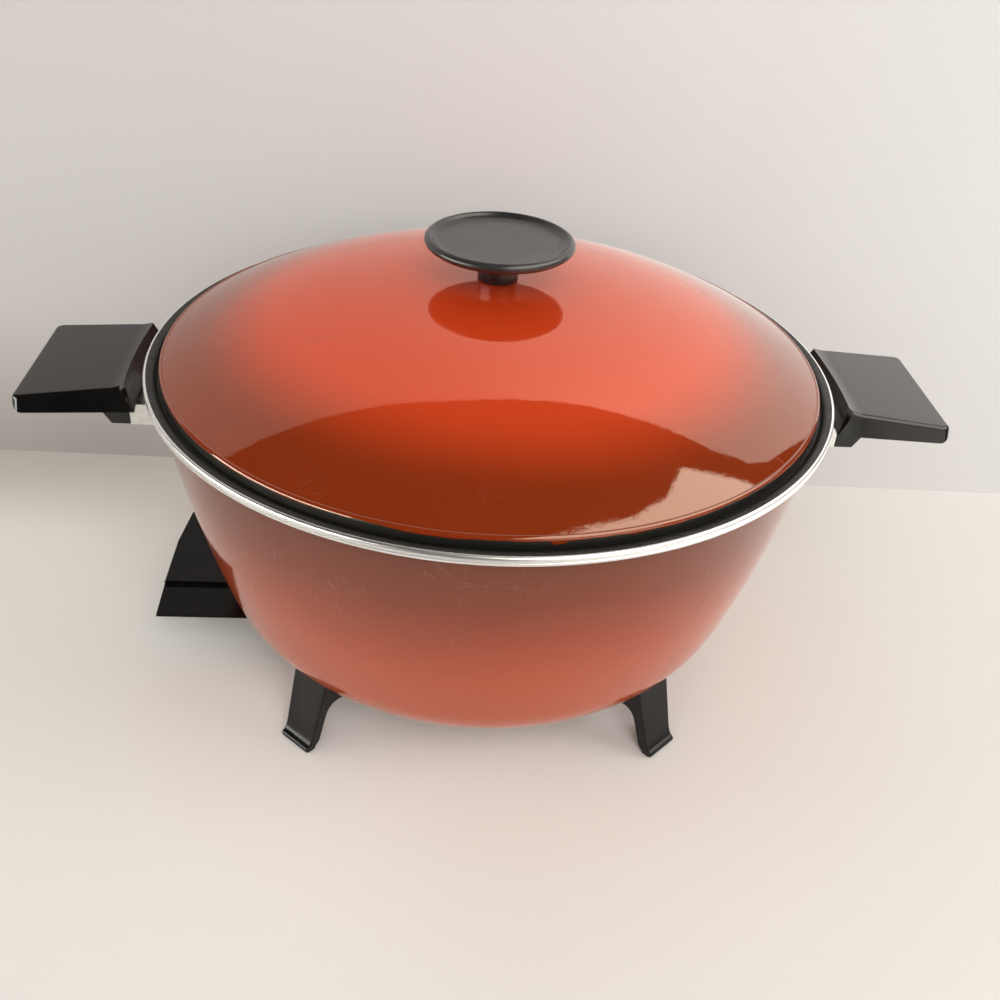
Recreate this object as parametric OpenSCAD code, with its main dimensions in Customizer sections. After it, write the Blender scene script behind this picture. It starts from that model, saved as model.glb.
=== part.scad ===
// Electric skillet: an enamelled deep pan on four legs, with wing handles and a lift-off lid.
// Millimetres, +Z up. The table is z = 0 and the bowl's axis is the Z axis.
// The handles lie along X, and the heat-control socket faces -X under the left handle.

/* [Bowl] */
// Outer radius of the bare rim band
rim_r = 140; // [132:0.5:150]
// Height of the rim's top face above the table
rim_z = 143.5; // [132:0.5:156]
// Height of the bare rim band
band_h = 3.2; // [2.4:0.1:4.5]
// How far the band stands out past the top of the wall
band_overhang = 4.6; // [3.6:0.1:5.6]
// Rounding of the band's top outer edge
band_round = 1.1; // [0.6:0.1:1.4]
// Width of the flat ledge between the band and the lid's seat
ledge_w = 3.9; // [3:0.1:4.4]
// Depth of the lid's seat below the ledge
seat_drop = 2; // [1.4:0.1:2.4]
// Width of the lid's seat
seat_w = 3.6; // [2.8:0.1:4.2]
// Lean of the wall from the vertical at its top, in degrees
wall_lean = 7.4; // [6:0.1:9]
// Radius of the wall's slight outward curve, seen from the side
wall_curve_r = 485; // [430:5:560]
// Thickness of the wall
wall_t = 3.2; // [2.6:0.1:4]
// Thickness of the bottom
bottom_t = 5; // [4:0.1:6.5]
// Outer radius of the round corner between bottom and wall
corner_r = 39.5; // [35:0.5:44]
// Radius of the round corner inside the bowl
inner_corner_r = 34; // [28:0.5:36]
// Height of the flat bottom above the table
bowl_lift = 22; // [20:0.5:26]

/* [Lid] */
// Gap all round between the lid's skirt and the rim's ledge
lid_gap = 1.3; // [0.8:0.1:2]
// Height of the lid's edge above the rim's top face
lid_edge_rise = 2.5; // [1.5:0.1:4]
// Height of the dome above the lid's edge
lid_rise = 31.7; // [24:0.1:38]
// How flat the dome is in the middle: higher is flatter
dome_power = 2.3; // [2:0.05:3]
// Thickness of the lid
lid_t = 1.5; // [1:0.1:2.2]
// Rounding of the lid's outer edge
lid_edge_round = 1.6; // [1:0.1:2.4]

/* [Knob] */
// Radius of the knob's disc
knob_r = 29.8; // [24:0.2:34]
// Height of the knob's top above the lid
knob_h = 17.4; // [16:0.1:24]
// Thickness of the disc at its rounded edge
knob_edge_t = 4.6; // [3.6:0.1:5.6]
// Depth of the dish in the top of the disc
dish_depth = 2.2; // [1.2:0.1:2.6]
// Radius of the flat in the middle of the dish
dish_flat_r = 23.6; // [20:0.2:25]
// How much deeper the disc is at its stem than at its edge
knob_under_fall = 3.2; // [2:0.1:5]
// Radius of the stem where it stands on the lid
stem_r = 7.4; // [6:0.1:9]
// How much wider the stem is under the disc
stem_flare = 0.8; // [0.2:0.1:2]

/* [Handles] */
// Gap between the rim band and the handle
handle_gap = 3.6; // [2.5:0.1:6]
// Length of a handle, from its inner foot to its outer edge
handle_len = 44; // [36:0.5:54]
// Half the width of a handle at its inner end
handle_inner_half = 30.4; // [26:0.2:36]
// Half the width of a handle at its outer edge
handle_outer_half = 33.6; // [29:0.2:40]
// Thickness of a handle at its outer edge
handle_outer_t = 6; // [5:0.1:8]
// Rise of the top face from the outer edge to the curl
handle_top_rise = 3.2; // [1.5:0.1:5]
// Further rise of the curl at the inner edge
curl_rise = 2.3; // [1:0.1:4]
// Length of the curl
curl_len = 8; // [5:0.5:11]
// Depth of the handle's underside below the rim's top face
handle_under_drop = 15.2; // [13:0.1:18]
// Rounding of the outer edge's underside
handle_tip_round = 5; // [3:0.1:5.4]
// Rounding of the handle's corners seen from above
handle_corner_r = 3; // [1.5:0.1:6]
// How far the scooped inner face leans away from the rim, going up
scoop_lean = 3.4; // [2:0.1:5]
// How much flatter the scoop is than the rim
scoop_flatter = 60; // [20:1:120]

/* [Handle brackets] */
// Half the width of a bracket and of the boss on it
bracket_half = 15; // [12:0.2:20]
// Height of a bracket
bracket_h = 9.3; // [7.5:0.1:12]
// Thickness of the bracket's metal
bracket_t = 1.6; // [1.2:0.1:2.4]
// Height of the boss under the handle
boss_h = 15; // [13:0.1:18]
// Length of the boss
boss_len = 11; // [9.5:0.1:14]
// Chamfer on the boss's lower outer edge
boss_chamfer = 3.2; // [1:0.1:5]
// Free length of the bracket between rim and boss
bracket_reach = 8; // [6:0.1:12]
// Height of the bracket's pad on the wall
pad_h = 20; // [14:0.5:26]

/* [Legs] */
// Direction of the front right leg from the X axis, in degrees
leg_turn = 47; // [42:1:50]
// Width of a leg where it meets the bowl
leg_top_w = 18.6; // [15:0.2:21]
// Width of a leg at its toe
leg_toe_w = 16; // [12:0.2:18]
// Thickness of a leg's front plate
leg_front_t = 2.6; // [1.8:0.1:3.4]
// How much narrower the leg is on each side behind its front plate
leg_step = 0.9; // [0.4:0.1:1.6]
// Splay of a leg's front face from the vertical, in degrees
leg_splay = 15.3; // [10:0.1:18]
// Distance of the toe's tip outside the flat of the bowl's bottom
toe_out = 37.3; // [33:0.1:41]
// How far the toe stands out past the leg's front face
toe_turn = 2; // [1:0.1:3]
// Height of the toe's lip
toe_lip = 3; // [2.2:0.1:4]
// Height above the table where the front face starts to curve out to the toe
toe_start_z = 8; // [6:0.1:10]
// Length of the flat sole
sole_len = 5.6; // [5:0.1:7]
// Thickness of the leg just above its sole
leg_low_t = 6; // [5:0.1:7.5]
// Thickness of the leg where it turns in under the bowl
leg_high_t = 6.8; // [5.6:0.1:8]
// Thickness of the part that hugs the bowl's corner
leg_wrap_t = 6.6; // [5:0.1:7]
// Length of the tab under the flat of the bowl's bottom
tab_len = 13; // [12:0.1:14]

/* [Base and element] */
// Thickness of the base plate
base_t = 4; // [3:0.1:5.5]
// Inset of the base plate from the edge of the bowl's flat bottom
base_inset = 2; // [1:0.1:3]
// Distance of the element's ring from the edge of the base plate
element_inset = 19.5; // [19:0.1:26]
// Radius of the element's sheath
sheath_r = 3.3; // [2.8:0.1:4]
// Bend radius where the sheath turns out to the socket
sheath_bend = 8; // [6:0.1:12]
// Thickness of the two walls that hold the sheath
track_wall_t = 2.4; // [1.6:0.1:3]
// Height of the two walls that hold the sheath
track_wall_h = 5.8; // [3:0.1:7]

/* [Socket] */
// Distance between the centres of the two terminal pins
pin_pitch = 28.6; // [24:0.1:34]
// Radius of a terminal pin
pin_r = 2.4; // [2:0.1:2.8]
// Length of a terminal pin outside its insulator
pin_len = 20; // [14:0.5:26]
// Radius of the pin's thin root inside the insulator
pin_root_r = 1.5; // [1:0.1:1.8]
// Length of an insulator
insulator_len = 4; // [3:0.1:7]
// Bore radius of the probe well
well_bore_r = 3.3; // [2.8:0.1:3.8]
// Wall of the probe well
well_t = 1.2; // [0.9:0.1:1.6]
// Height of the sheet left above the probe well
well_web = 1; // [0.8:0.1:2]
// Depth of the probe well
well_depth = 64; // [50:1:74]
// Thickness of the well's closed end
well_end_t = 3; // [2:0.1:5]
// Thickness of the terminal bracket's sheet
sheet_t = 1.2; // [0.9:0.1:1.8]
// Margin of sheet beside each sheath in the terminal bracket
terminal_margin = 1.8; // [1.2:0.1:3]
// Drop of the terminal bracket below the pins' centres
terminal_drop = 6.5; // [5.5:0.1:7.2]
// Distance of the terminal plate from the edge of the bowl's flat bottom
terminal_out = 6.5; // [4:0.1:9]

/* [Guard] */
// How far the guard reaches out past the rim band
guard_past_rim = 3.4; // [0:0.1:8]
// Height of the guard's deck above the table
deck_z = 30; // [28.5:0.1:32]
// Height of the step from the front ledge up to the deck
deck_step = 4; // [2.5:0.1:4.5]
// Thickness of the guard's plate
guard_t = 2.5; // [2:0.1:3.2]
// Width of the front ledge
front_ledge_w = 19.5; // [14:0.5:24]
// Distance of the step in front of the socket's middle
step_front = 13; // [10:0.5:16]
// Distance of the deck's rear edge behind the socket's middle
deck_rear = 42; // [34:0.5:48]
// Where the deck's outer edge starts to run back, behind the socket's middle
taper_start = 18; // [12:0.5:24]
// How much the deck's outer edge runs back at its rear
taper_back = 2.6; // [1:0.1:5]
// Margin of the ledge outside the deck's outer edge
deck_margin = 0.4; // [0.2:0.1:2.5]
// Thickness of the lip at the guard's edges
guard_lip = 0.9; // [0.6:0.1:1.4]
// Width of the bevel under the guard's edges
guard_bevel = 3; // [2:0.1:4]
// Height of the ribs under the guard
rib_h = 3.2; // [2:0.1:4.5]
// Height of the cheeks' lower edge above the table
cheek_z = 8; // [6:0.1:10]
// Distance from the terminal plate out to the front of the cheeks
cheek_out = 9; // [6:0.1:11]
// Length of the cheeks' sloping front edge
cheek_rake = 6; // [3:0.1:9]
// Thickness of the guard's feet that are screwed under the base
guard_foot_t = 3; // [2.4:0.1:4]
// Width of the guard's foot
guard_foot_w = 11; // [10:0.1:14]
// Length of the guard's foot under the base plate
guard_foot_len = 15; // [13:0.1:18]

/* [Screws] */
// Shank radius of the leg and guard screws
screw_r = 2.5; // [2:0.1:2.8]
// Metal left above a leg screw's hole in the bowl's bottom
screw_floor = 1.4; // [1:0.1:2]
// Head radius of the leg and guard screws
screw_head_r = 4.3; // [3.8:0.1:4.8]
// Head height of the leg and guard screws
screw_head_h = 2.6; // [2:0.1:3.2]
// Shank radius of the handle screws
handle_screw_r = 2; // [1.6:0.1:2.4]
// Head radius of the handle screws
handle_head_r = 3.6; // [3:0.1:4]
// Head height of the handle screws
handle_head_h = 2.4; // [2:0.1:3]
// Distance of a handle screw from the middle of the boss
handle_screw_side = 8; // [6:0.1:9.4]
// How far a handle screw runs into the wing
handle_screw_bite = 5; // [3:0.1:6]
// Shank radius of the knob screw
knob_screw_r = 2; // [1.6:0.1:2.6]
// Head radius of the knob screw
knob_head_r = 4.2; // [3.4:0.1:5]
// Head height of the knob screw
knob_head_h = 2.8; // [2:0.1:3.6]
// How far the knob screw runs into the stem
knob_screw_bite = 9; // [6:0.1:11]
// Outer radius of the knob's washer
washer_r = 7; // [6:0.1:9]
// Thickness of the knob's washer
washer_t = 1; // [0.8:0.1:1.6]

/* [Clearances] */
// Gap between pieces that are seated against a curved face
seat_gap = 0.2; // [0.15:0.01:0.4]
// Gap under the lid's skirt
lid_seat_gap = 0.3; // [0.2:0.01:0.5]
// Radial gap round a shank in its tight hole
thread_gap = 0.05; // [0.02:0.01:0.1]
// Radial gap round a shank in a through hole
hole_gap = 0.3; // [0.15:0.01:0.5]
// Gap on each side of a sheet in its slot
slot_gap = 0.1; // [0.05:0.01:0.2]

/* [Hidden] */
$fn = 96;
arc_steps = 14;
dome_steps = 44;

// Bowl
band_z = rim_z - band_h;
wall_top_r = rim_r - band_overhang;
wall_top_z = band_z - band_overhang / 2;
wall_c = [wall_top_r - wall_curve_r * cos(wall_lean), wall_top_z + wall_curve_r * sin(wall_lean)];
corner_z = bowl_lift + corner_r;
corner_join = asin((wall_c[1] - corner_z) / (wall_curve_r - corner_r));
base_r = wall_c[0] + (wall_curve_r - corner_r) * cos(corner_join);
inner_wall_r = wall_curve_r - wall_t;
inner_corner_z = bowl_lift + bottom_t + inner_corner_r;
inner_join = asin((wall_c[1] - inner_corner_z) / (inner_wall_r - inner_corner_r));
inner_corner_x = wall_c[0] + (inner_wall_r - inner_corner_r) * cos(inner_join);
ledge_in_r = rim_r - band_round - ledge_w;
seat_z = rim_z - seat_drop;
seat_in_r = ledge_in_r - seat_w;
bead_h = 2;
inner_top = asin((wall_c[1] - (seat_z - 2 * bead_h)) / inner_wall_r);

// Lid
lid_r = ledge_in_r - lid_gap;
lid_edge_z = rim_z + lid_edge_rise;
lid_foot_z = seat_z + lid_seat_gap;
lid_top_z = dome_z(0);
knob_top_z = lid_top_z + knob_h;
// the washer's rim meets the dome's underside
washer_top_z = dome_z(washer_r) - lid_t * sqrt(1 + pow(dome_fall(washer_r), 2)) - 0.01;

// Handles, drawn for the right side
handle_in_x = rim_r + handle_gap;
handle_out_x = handle_in_x + handle_len;
handle_under_z = rim_z - handle_under_drop;
handle_outer_z = handle_under_z + handle_outer_t;
curl_z = handle_outer_z + handle_top_rise;
handle_top_z = curl_z + curl_rise;
boss_in_x = rim_r + bracket_reach;
boss_out_x = boss_in_x + boss_len;
boss_bottom_z = handle_under_z - boss_h;
web_top_z = boss_bottom_z + bracket_h;
tongue_out_x = boss_out_x - 2;
handle_screw_x = boss_in_x + (boss_len - boss_chamfer) * 0.55;

// Base, element and socket
base_under_z = bowl_lift - base_t;
base_plate_r = base_r - base_inset;
element_r = base_plate_r - element_inset;
well_r = well_bore_r + well_t;
socket_z = base_under_z - well_web - well_r - slot_gap;
track_pad_h = base_under_z - (socket_z + sheath_r + slot_gap);
track_gap_angle = asin((pin_pitch / 2 + sheath_bend) / (element_r + sheath_bend));
track_half_w = sheath_r + slot_gap + track_wall_t;
terminal_x = base_r + terminal_out;
panel_half = pin_pitch / 2 + sheath_r + slot_gap + terminal_margin;
sheath_end_x = terminal_x + sheet_t + 2;
insulator_end_x = sheath_end_x + insulator_len;
well_mouth_x = insulator_end_x;
foot_in_y = panel_half + 0.4;
foot_out_y = foot_in_y + guard_foot_w;
guard_screw_x = base_plate_r - guard_foot_len * 0.6;
guard_screw_y = foot_in_y + guard_foot_w / 2;

// Legs, drawn along +X from the bowl's axis
toe_r = base_r + toe_out;
tab_in_r = base_r - tab_len;
leg_screw_x = base_r - tab_len / 2;
tab_z = bowl_lift - leg_wrap_t;
leg_face_r = toe_r - toe_turn;
leg_fall = tan(leg_splay);

// Guard, drawn for +X and then turned to -X
guard_out_x = rim_r + guard_past_rim;

// Points on an arc round c from angle a0 to a1
function arc(c, r, a0, a1, steps = arc_steps) =
    [for (i = [0:steps]) let (a = a0 + (a1 - a0) * i / steps) c + r * [cos(a), sin(a)]];

// Height of the lid's outer face at radius r
function dome_z(r) = lid_edge_z + lid_rise * (1 - pow(r / lid_r, dome_power));

// Fall of the lid's outer face per millimetre at radius r
function dome_fall(r) = lid_rise * dome_power / lid_r * pow(r / lid_r, dome_power - 1);

// Everything inside the bowl's outer skin up to the rim, grown outwards by g
module bowl_envelope(g) {
    rotate_extrude()
        polygon(concat(
            [[0, bowl_lift - g]],
            arc([base_r, corner_z], corner_r + g, -90, -corner_join),
            arc(wall_c, wall_curve_r + g, -corner_join, -wall_lean),
            [[wall_top_r + g, rim_z], [0, rim_z]]));
}

module bowl() {
    color("#b4432a")
    difference() {
        rotate_extrude()
            polygon(concat(
                [[0, bowl_lift]],
                arc([base_r, corner_z], corner_r, -90, -corner_join),
                arc(wall_c, wall_curve_r, -corner_join, -wall_lean),
                [[rim_r, band_z]],
                arc([rim_r - band_round, rim_z - band_round], band_round, 0, 90, 4),
                [[ledge_in_r, rim_z], [ledge_in_r, seat_z], [seat_in_r, seat_z], [seat_in_r, seat_z - bead_h]],
                arc(wall_c, inner_wall_r, -inner_top, -inner_join),
                arc([inner_corner_x, inner_corner_z], inner_corner_r, -inner_join, -90),
                [[0, bowl_lift + bottom_t]]));
        // blind holes for the leg screws
        for (angle = [leg_turn, 180 - leg_turn, 180 + leg_turn, -leg_turn])
            rotate([0, 0, angle])
                translate([leg_screw_x, 0, bowl_lift - 1])
                    cylinder(r = screw_r + thread_gap, h = bottom_t - screw_floor + 1);
    }
}

module lid() {
    step = (lid_r - lid_edge_round) / dome_steps;
    outer = [for (i = [0:dome_steps]) [i * step, dome_z(i * step)]];
    inner = [for (i = [dome_steps:-1:0]) let (r = min(i * step, lid_r - lid_t - 0.01))
        [r, dome_z(r) - lid_t * sqrt(1 + pow(dome_fall(r), 2))]];
    color("#c8482c")
    difference() {
        rotate_extrude()
            polygon(concat(
                outer,
                [[lid_r - lid_edge_round * 0.4, dome_z(lid_r) - lid_edge_round * 0.1]],
                [[lid_r, dome_z(lid_r) - lid_edge_round * 0.9]],
                [[lid_r, lid_foot_z], [lid_r - lid_t, lid_foot_z]],
                inner));
        translate([0, 0, lid_top_z - lid_t * 2])
            cylinder(r = knob_screw_r + hole_gap, h = lid_t * 3);
    }
}

module lid_knob() {
    edge_r = knob_edge_t / 2;
    dish_rim_r = knob_r - edge_r;
    under_z = knob_top_z - knob_edge_t;
    color("#1c1a1a")
    difference() {
        rotate_extrude()
            polygon(concat(
                [[0, lid_top_z], [stem_r, lid_top_z], [stem_r + stem_flare, under_z - knob_under_fall - 2]],
                arc([stem_r + stem_flare + 2, under_z - knob_under_fall - 2], 2, 180, 100, 5),
                arc([dish_rim_r, knob_top_z - edge_r], edge_r, -80, 90, 12),
                [[(dish_rim_r + dish_flat_r) / 2 + 0.6, knob_top_z - dish_depth * 0.62]],
                [[dish_flat_r, knob_top_z - dish_depth], [0, knob_top_z - dish_depth]]));
        translate([0, 0, lid_top_z - 1])
            cylinder(r = knob_screw_r + thread_gap, h = knob_screw_bite + 2);
    }
}

module knob_washer() {
    color("#b9bcc0")
    translate([0, 0, washer_top_z - washer_t])
        difference() {
            cylinder(r = washer_r, h = washer_t);
            translate([0, 0, -1])
                cylinder(r = knob_screw_r + hole_gap, h = washer_t + 2);
        }
}

module knob_screw() {
    head_z = washer_top_z - washer_t - knob_head_h;
    color("#c4c6c8")
    difference() {
        union() {
            translate([0, 0, head_z])
                cylinder(r = knob_head_r, h = knob_head_h);
            translate([0, 0, head_z + knob_head_h / 2])
                cylinder(r = knob_screw_r, h = lid_top_z + knob_screw_bite - head_z - knob_head_h / 2);
        }
        translate([-knob_head_r, -0.5, head_z - 1])
            cube([2 * knob_head_r, 1, 2]);
    }
}

// Side view of a handle in x and z
function handle_side() = concat(
    [[rim_r - 6, handle_under_z]],
    arc([handle_out_x - handle_tip_round, handle_under_z + handle_tip_round], handle_tip_round, -90, 0, 8),
    [[handle_out_x, handle_outer_z - 0.9], [handle_out_x - 1.2, handle_outer_z]],
    [for (i = [0:8]) let (s = i / 8)
        [handle_in_x + 2 * curl_len - s * 2 * curl_len, curl_z + curl_rise * s * s]],
    [[rim_r - 6, handle_top_z]]);

// Plan of a handle in x and y, rounded at its outer corners
module handle_plan() {
    lean = atan((handle_outer_half - handle_inner_half) / handle_len);
    corner_x = handle_out_x - handle_corner_r;
    corner_y = handle_outer_half - handle_corner_r;
    polygon(concat(
        [[handle_in_x - 12, -handle_inner_half]],
        arc([corner_x, -corner_y], handle_corner_r, -90 - lean, 0, 6),
        arc([corner_x, corner_y], handle_corner_r, 0, 90 + lean, 6),
        [[handle_in_x - 12, handle_inner_half]]));
}

module handle() {
    scoop_r = handle_in_x + scoop_flatter;
    scoop_h = handle_top_z - handle_under_z;
    difference() {
        union() {
            intersection() {
                rotate([90, 0, 0])
                    linear_extrude(height = 3 * handle_outer_half, center = true)
                        polygon(handle_side());
                translate([0, 0, boss_bottom_z])
                    linear_extrude(height = 2 * boss_h + scoop_h)
                        handle_plan();
            }
            // boss with a chamfered lower outer edge
            rotate([90, 0, 0])
                linear_extrude(height = 2 * bracket_half, center = true)
                    polygon([[boss_in_x, boss_bottom_z], [boss_out_x - boss_chamfer, boss_bottom_z],
                        [boss_out_x, boss_bottom_z + boss_chamfer * 1.6], [boss_out_x, handle_under_z + 1],
                        [boss_in_x, handle_under_z + 1]]);
        }
        // scooped inner face, flatter than the rim that it faces
        translate([-scoop_flatter, 0, handle_under_z - 1])
            cylinder(r1 = scoop_r - scoop_lean / scoop_h, r2 = scoop_r + scoop_lean * (1 + 1 / scoop_h),
                h = scoop_h + 2);
        // slot that holds the bracket's tongue
        translate([boss_in_x - 1, -bracket_half + bracket_t - slot_gap, web_top_z - bracket_t - slot_gap])
            cube([tongue_out_x - boss_in_x + 1 + slot_gap, 2 * (bracket_half - bracket_t + slot_gap),
                bracket_t + 2 * slot_gap]);
        for (side = [-1, 1])
            translate([handle_screw_x, side * handle_screw_side, 0]) {
                translate([0, 0, boss_bottom_z - 1])
                    cylinder(r = handle_head_r + hole_gap, h = handle_head_h + 1.6);
                translate([0, 0, boss_bottom_z])
                    cylinder(r = handle_screw_r + thread_gap,
                        h = handle_under_z + handle_screw_bite + 0.5 - boss_bottom_z);
            }
    }
}

module handle_left() {
    color("#1b1b1b")
    mirror([1, 0, 0])
        handle();
}

module handle_right() {
    color("#1b1b1b")
    handle();
}

// Channel with its open side down, a tongue in the boss and a pad on the bowl's wall
module handle_bracket() {
    inner_x = wall_top_r - 20;
    pad_z = web_top_z - bracket_h / 2 - pad_h / 2;
    difference() {
        union() {
            translate([inner_x, -bracket_half, web_top_z - bracket_t])
                cube([boss_in_x - inner_x - slot_gap, 2 * bracket_half, bracket_t]);
            translate([boss_in_x - 1, -bracket_half + bracket_t, web_top_z - bracket_t])
                cube([tongue_out_x - boss_in_x + 1, 2 * (bracket_half - bracket_t), bracket_t]);
            for (side = [-1, 1])
                translate([inner_x, side * (bracket_half - bracket_t / 2) - bracket_t / 2, boss_bottom_z])
                    cube([boss_in_x - inner_x - slot_gap, bracket_t, bracket_h - bracket_t / 2]);
            intersection() {
                bowl_envelope(seat_gap + bracket_t);
                translate([inner_x, -bracket_half, pad_z])
                    cube([40, 2 * bracket_half, pad_h]);
            }
        }
        bowl_envelope(seat_gap);
        for (side = [-1, 1])
            translate([handle_screw_x, side * handle_screw_side, boss_bottom_z])
                cylinder(r = handle_screw_r + hole_gap, h = boss_h);
    }
}

module handle_bracket_left() {
    color("#c9cacb")
    mirror([1, 0, 0])
        handle_bracket();
}

module handle_bracket_right() {
    color("#c9cacb")
    handle_bracket();
}

// Screw that points up: its head's underside side faces down at z = 0, length is that of the shank
module screw(head_r, head_h, shank_r, length) {
    difference() {
        union() {
            cylinder(r = head_r, h = head_h);
            translate([0, 0, head_h / 2])
                cylinder(r = shank_r, h = length + head_h / 2);
        }
        translate([-head_r, -0.5, -1])
            cube([2 * head_r, 1, 1.8]);
    }
}

module handle_screws() {
    color("#c4c6c8")
    for (end = [-1, 1], side = [-1, 1])
        translate([end * handle_screw_x, side * handle_screw_side, boss_bottom_z + 0.6])
            screw(handle_head_r, handle_head_h, handle_screw_r,
                handle_under_z + handle_screw_bite - boss_bottom_z - 0.6 - handle_head_h);
}

// Radius of a leg's front face at height z
function leg_front(z) = leg_face_r - (z - toe_lip / 2) * leg_fall;

// Side view of a leg in r and z, before the bowl is cut away
function leg_side() =
    let (back_z = tab_z + 5, sole_in = toe_r - toe_lip / 2 - sole_len)
    concat(
        [[sole_in, 0]],
        arc([toe_r - toe_lip / 2, toe_lip / 2], toe_lip / 2, -90, 70, 8),
        [[leg_front((toe_lip + toe_start_z) / 2) + 0.5, (toe_lip + toe_start_z) / 2]],
        [[leg_front(toe_start_z), toe_start_z], [leg_front(corner_z), corner_z]],
        [[tab_in_r, corner_z], [tab_in_r, tab_z]],
        arc([base_r, corner_z], corner_r + leg_wrap_t, -90, -62, 8),
        [[leg_front(back_z) - leg_high_t, back_z], [leg_front(4) - leg_low_t, 4]],
        arc([sole_in, 3.4], 3.4, 195, 270, 6));

// Front view of a leg, as wide as its toe and top less the margin on each side
module leg_front_view(margin) {
    toe_half = leg_toe_w / 2 - margin;
    top_half = leg_top_w / 2 - margin;
    half = toe_half + (top_half - toe_half) * corner_z / (bowl_lift + leg_wrap_t);
    polygon([[-toe_half, 0], [toe_half, 0], [half, corner_z], [-half, corner_z]]);
}

module leg() {
    difference() {
        union() {
            intersection() {
                rotate([90, 0, 0])
                    linear_extrude(height = 2 * leg_top_w, center = true)
                        polygon(leg_side());
                rotate([90, 0, 90])
                    linear_extrude(height = toe_r + 5)
                        leg_front_view(leg_step);
            }
            // wider front plate
            intersection() {
                rotate([90, 0, 0])
                    linear_extrude(height = 2 * leg_top_w, center = true)
                        difference() {
                            polygon(leg_side());
                            polygon([[0, -1], [leg_front(-1) - leg_front_t, -1],
                                [leg_front(corner_z + 1) - leg_front_t, corner_z + 1], [0, corner_z + 1]]);
                        }
                rotate([90, 0, 90])
                    linear_extrude(height = toe_r + 5)
                        leg_front_view(0);
            }
        }
        bowl_envelope(seat_gap);
        translate([leg_screw_x, 0, 0])
            cylinder(r = screw_r + hole_gap, h = corner_z);
    }
}

module leg_at(angle) {
    color("#1b1b1b")
    rotate([0, 0, angle])
        leg();
}

module leg_front_left() {
    leg_at(180 + leg_turn);
}

module leg_front_right() {
    leg_at(-leg_turn);
}

module leg_rear_left() {
    leg_at(180 - leg_turn);
}

module leg_rear_right() {
    leg_at(leg_turn);
}

module leg_screws() {
    color("#c4c6c8")
    for (angle = [leg_turn, 180 - leg_turn, 180 + leg_turn, -leg_turn])
        rotate([0, 0, angle])
            translate([leg_screw_x, 0, tab_z - screw_head_h])
                screw(screw_head_r, screw_head_h, screw_r, leg_wrap_t + bottom_t - screw_floor - 0.4);
}

// Disc under the bowl, notched for the legs, with two ring walls that hold the element's sheath
module base_plate() {
    open = track_gap_angle + 4;
    notch_half = leg_top_w / 2 + hole_gap;
    color("#b9bbbc")
    difference() {
        union() {
            translate([0, 0, base_under_z])
                cylinder(r = base_plate_r, h = base_t);
            rotate([0, 0, 180 + open])
                rotate_extrude(angle = 360 - 2 * open)
                    translate([element_r - track_half_w, base_under_z - track_wall_h])
                        square([2 * track_half_w, track_wall_h + base_t / 2]);
        }
        rotate([0, 0, 180])
            rotate_extrude()
                translate([element_r - sheath_r - slot_gap, base_under_z - track_wall_h - 1])
                    square([2 * (sheath_r + slot_gap), track_wall_h + 1 - track_pad_h]);
        for (angle = [leg_turn, 180 - leg_turn, 180 + leg_turn, -leg_turn])
            rotate([0, 0, angle])
                translate([tab_in_r - hole_gap, -notch_half, base_under_z - 1])
                    cube([tab_len + 2, 2 * notch_half, base_t + 2]);
        for (side = [-1, 1])
            translate([-guard_screw_x, side * guard_screw_y, base_under_z - 1])
                cylinder(r = screw_r + thread_gap, h = base_t + 2);
    }
}

// Sheathed tube: a ring open at -X, two bends and two straight ends, all tangent
module heating_element() {
    bend_x = (element_r + sheath_bend) * cos(track_gap_angle);
    color("#8d8a86")
    translate([0, 0, socket_z]) {
        rotate([0, 0, 180 + track_gap_angle])
            rotate_extrude(angle = 360 - 2 * track_gap_angle)
                translate([element_r, 0])
                    circle(r = sheath_r, $fn = 32);
        sheath_end(bend_x);
        mirror([0, 1, 0])
            sheath_end(bend_x);
    }
}

// Bend and straight end of the sheath on the +Y side
module sheath_end(bend_x) {
    translate([-bend_x, pin_pitch / 2 + sheath_bend, 0])
        rotate([0, 0, -90])
            rotate_extrude(angle = 90 - track_gap_angle)
                translate([sheath_bend, 0])
                    circle(r = sheath_r, $fn = 32);
    translate([-bend_x, pin_pitch / 2, 0])
        rotate([0, -90, 0])
            cylinder(r = sheath_r, h = sheath_end_x - bend_x, $fn = 32);
}

module terminal_insulators() {
    color("#e8e2d2")
    for (side = [-1, 1])
        translate([-sheath_end_x, side * pin_pitch / 2, socket_z])
            rotate([0, -90, 0])
                difference() {
                    cylinder(r = sheath_r, h = insulator_len);
                    translate([0, 0, -1])
                        cylinder(r = pin_root_r + thread_gap, h = insulator_len + 2);
                }
}

module terminal_pins() {
    color("#d5d6d2")
    for (side = [-1, 1])
        translate([-sheath_end_x, side * pin_pitch / 2, socket_z])
            rotate([0, -90, 0])
                rotate_extrude()
                    polygon(concat(
                        [[0, 0], [pin_root_r, 0], [pin_root_r, insulator_len], [pin_r, insulator_len]],
                        arc([pin_r - 1.6, insulator_len + pin_len - 1.6], 1.6, 0, 90, 5),
                        [[0, insulator_len + pin_len]]));
}

module probe_well() {
    color("#c2c4c6")
    translate([-well_mouth_x, 0, socket_z])
        rotate([0, 90, 0])
            difference() {
                cylinder(r = well_r, h = well_depth + well_end_t);
                translate([0, 0, -1])
                    cylinder(r = well_bore_r, h = well_depth + 1);
            }
}

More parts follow.
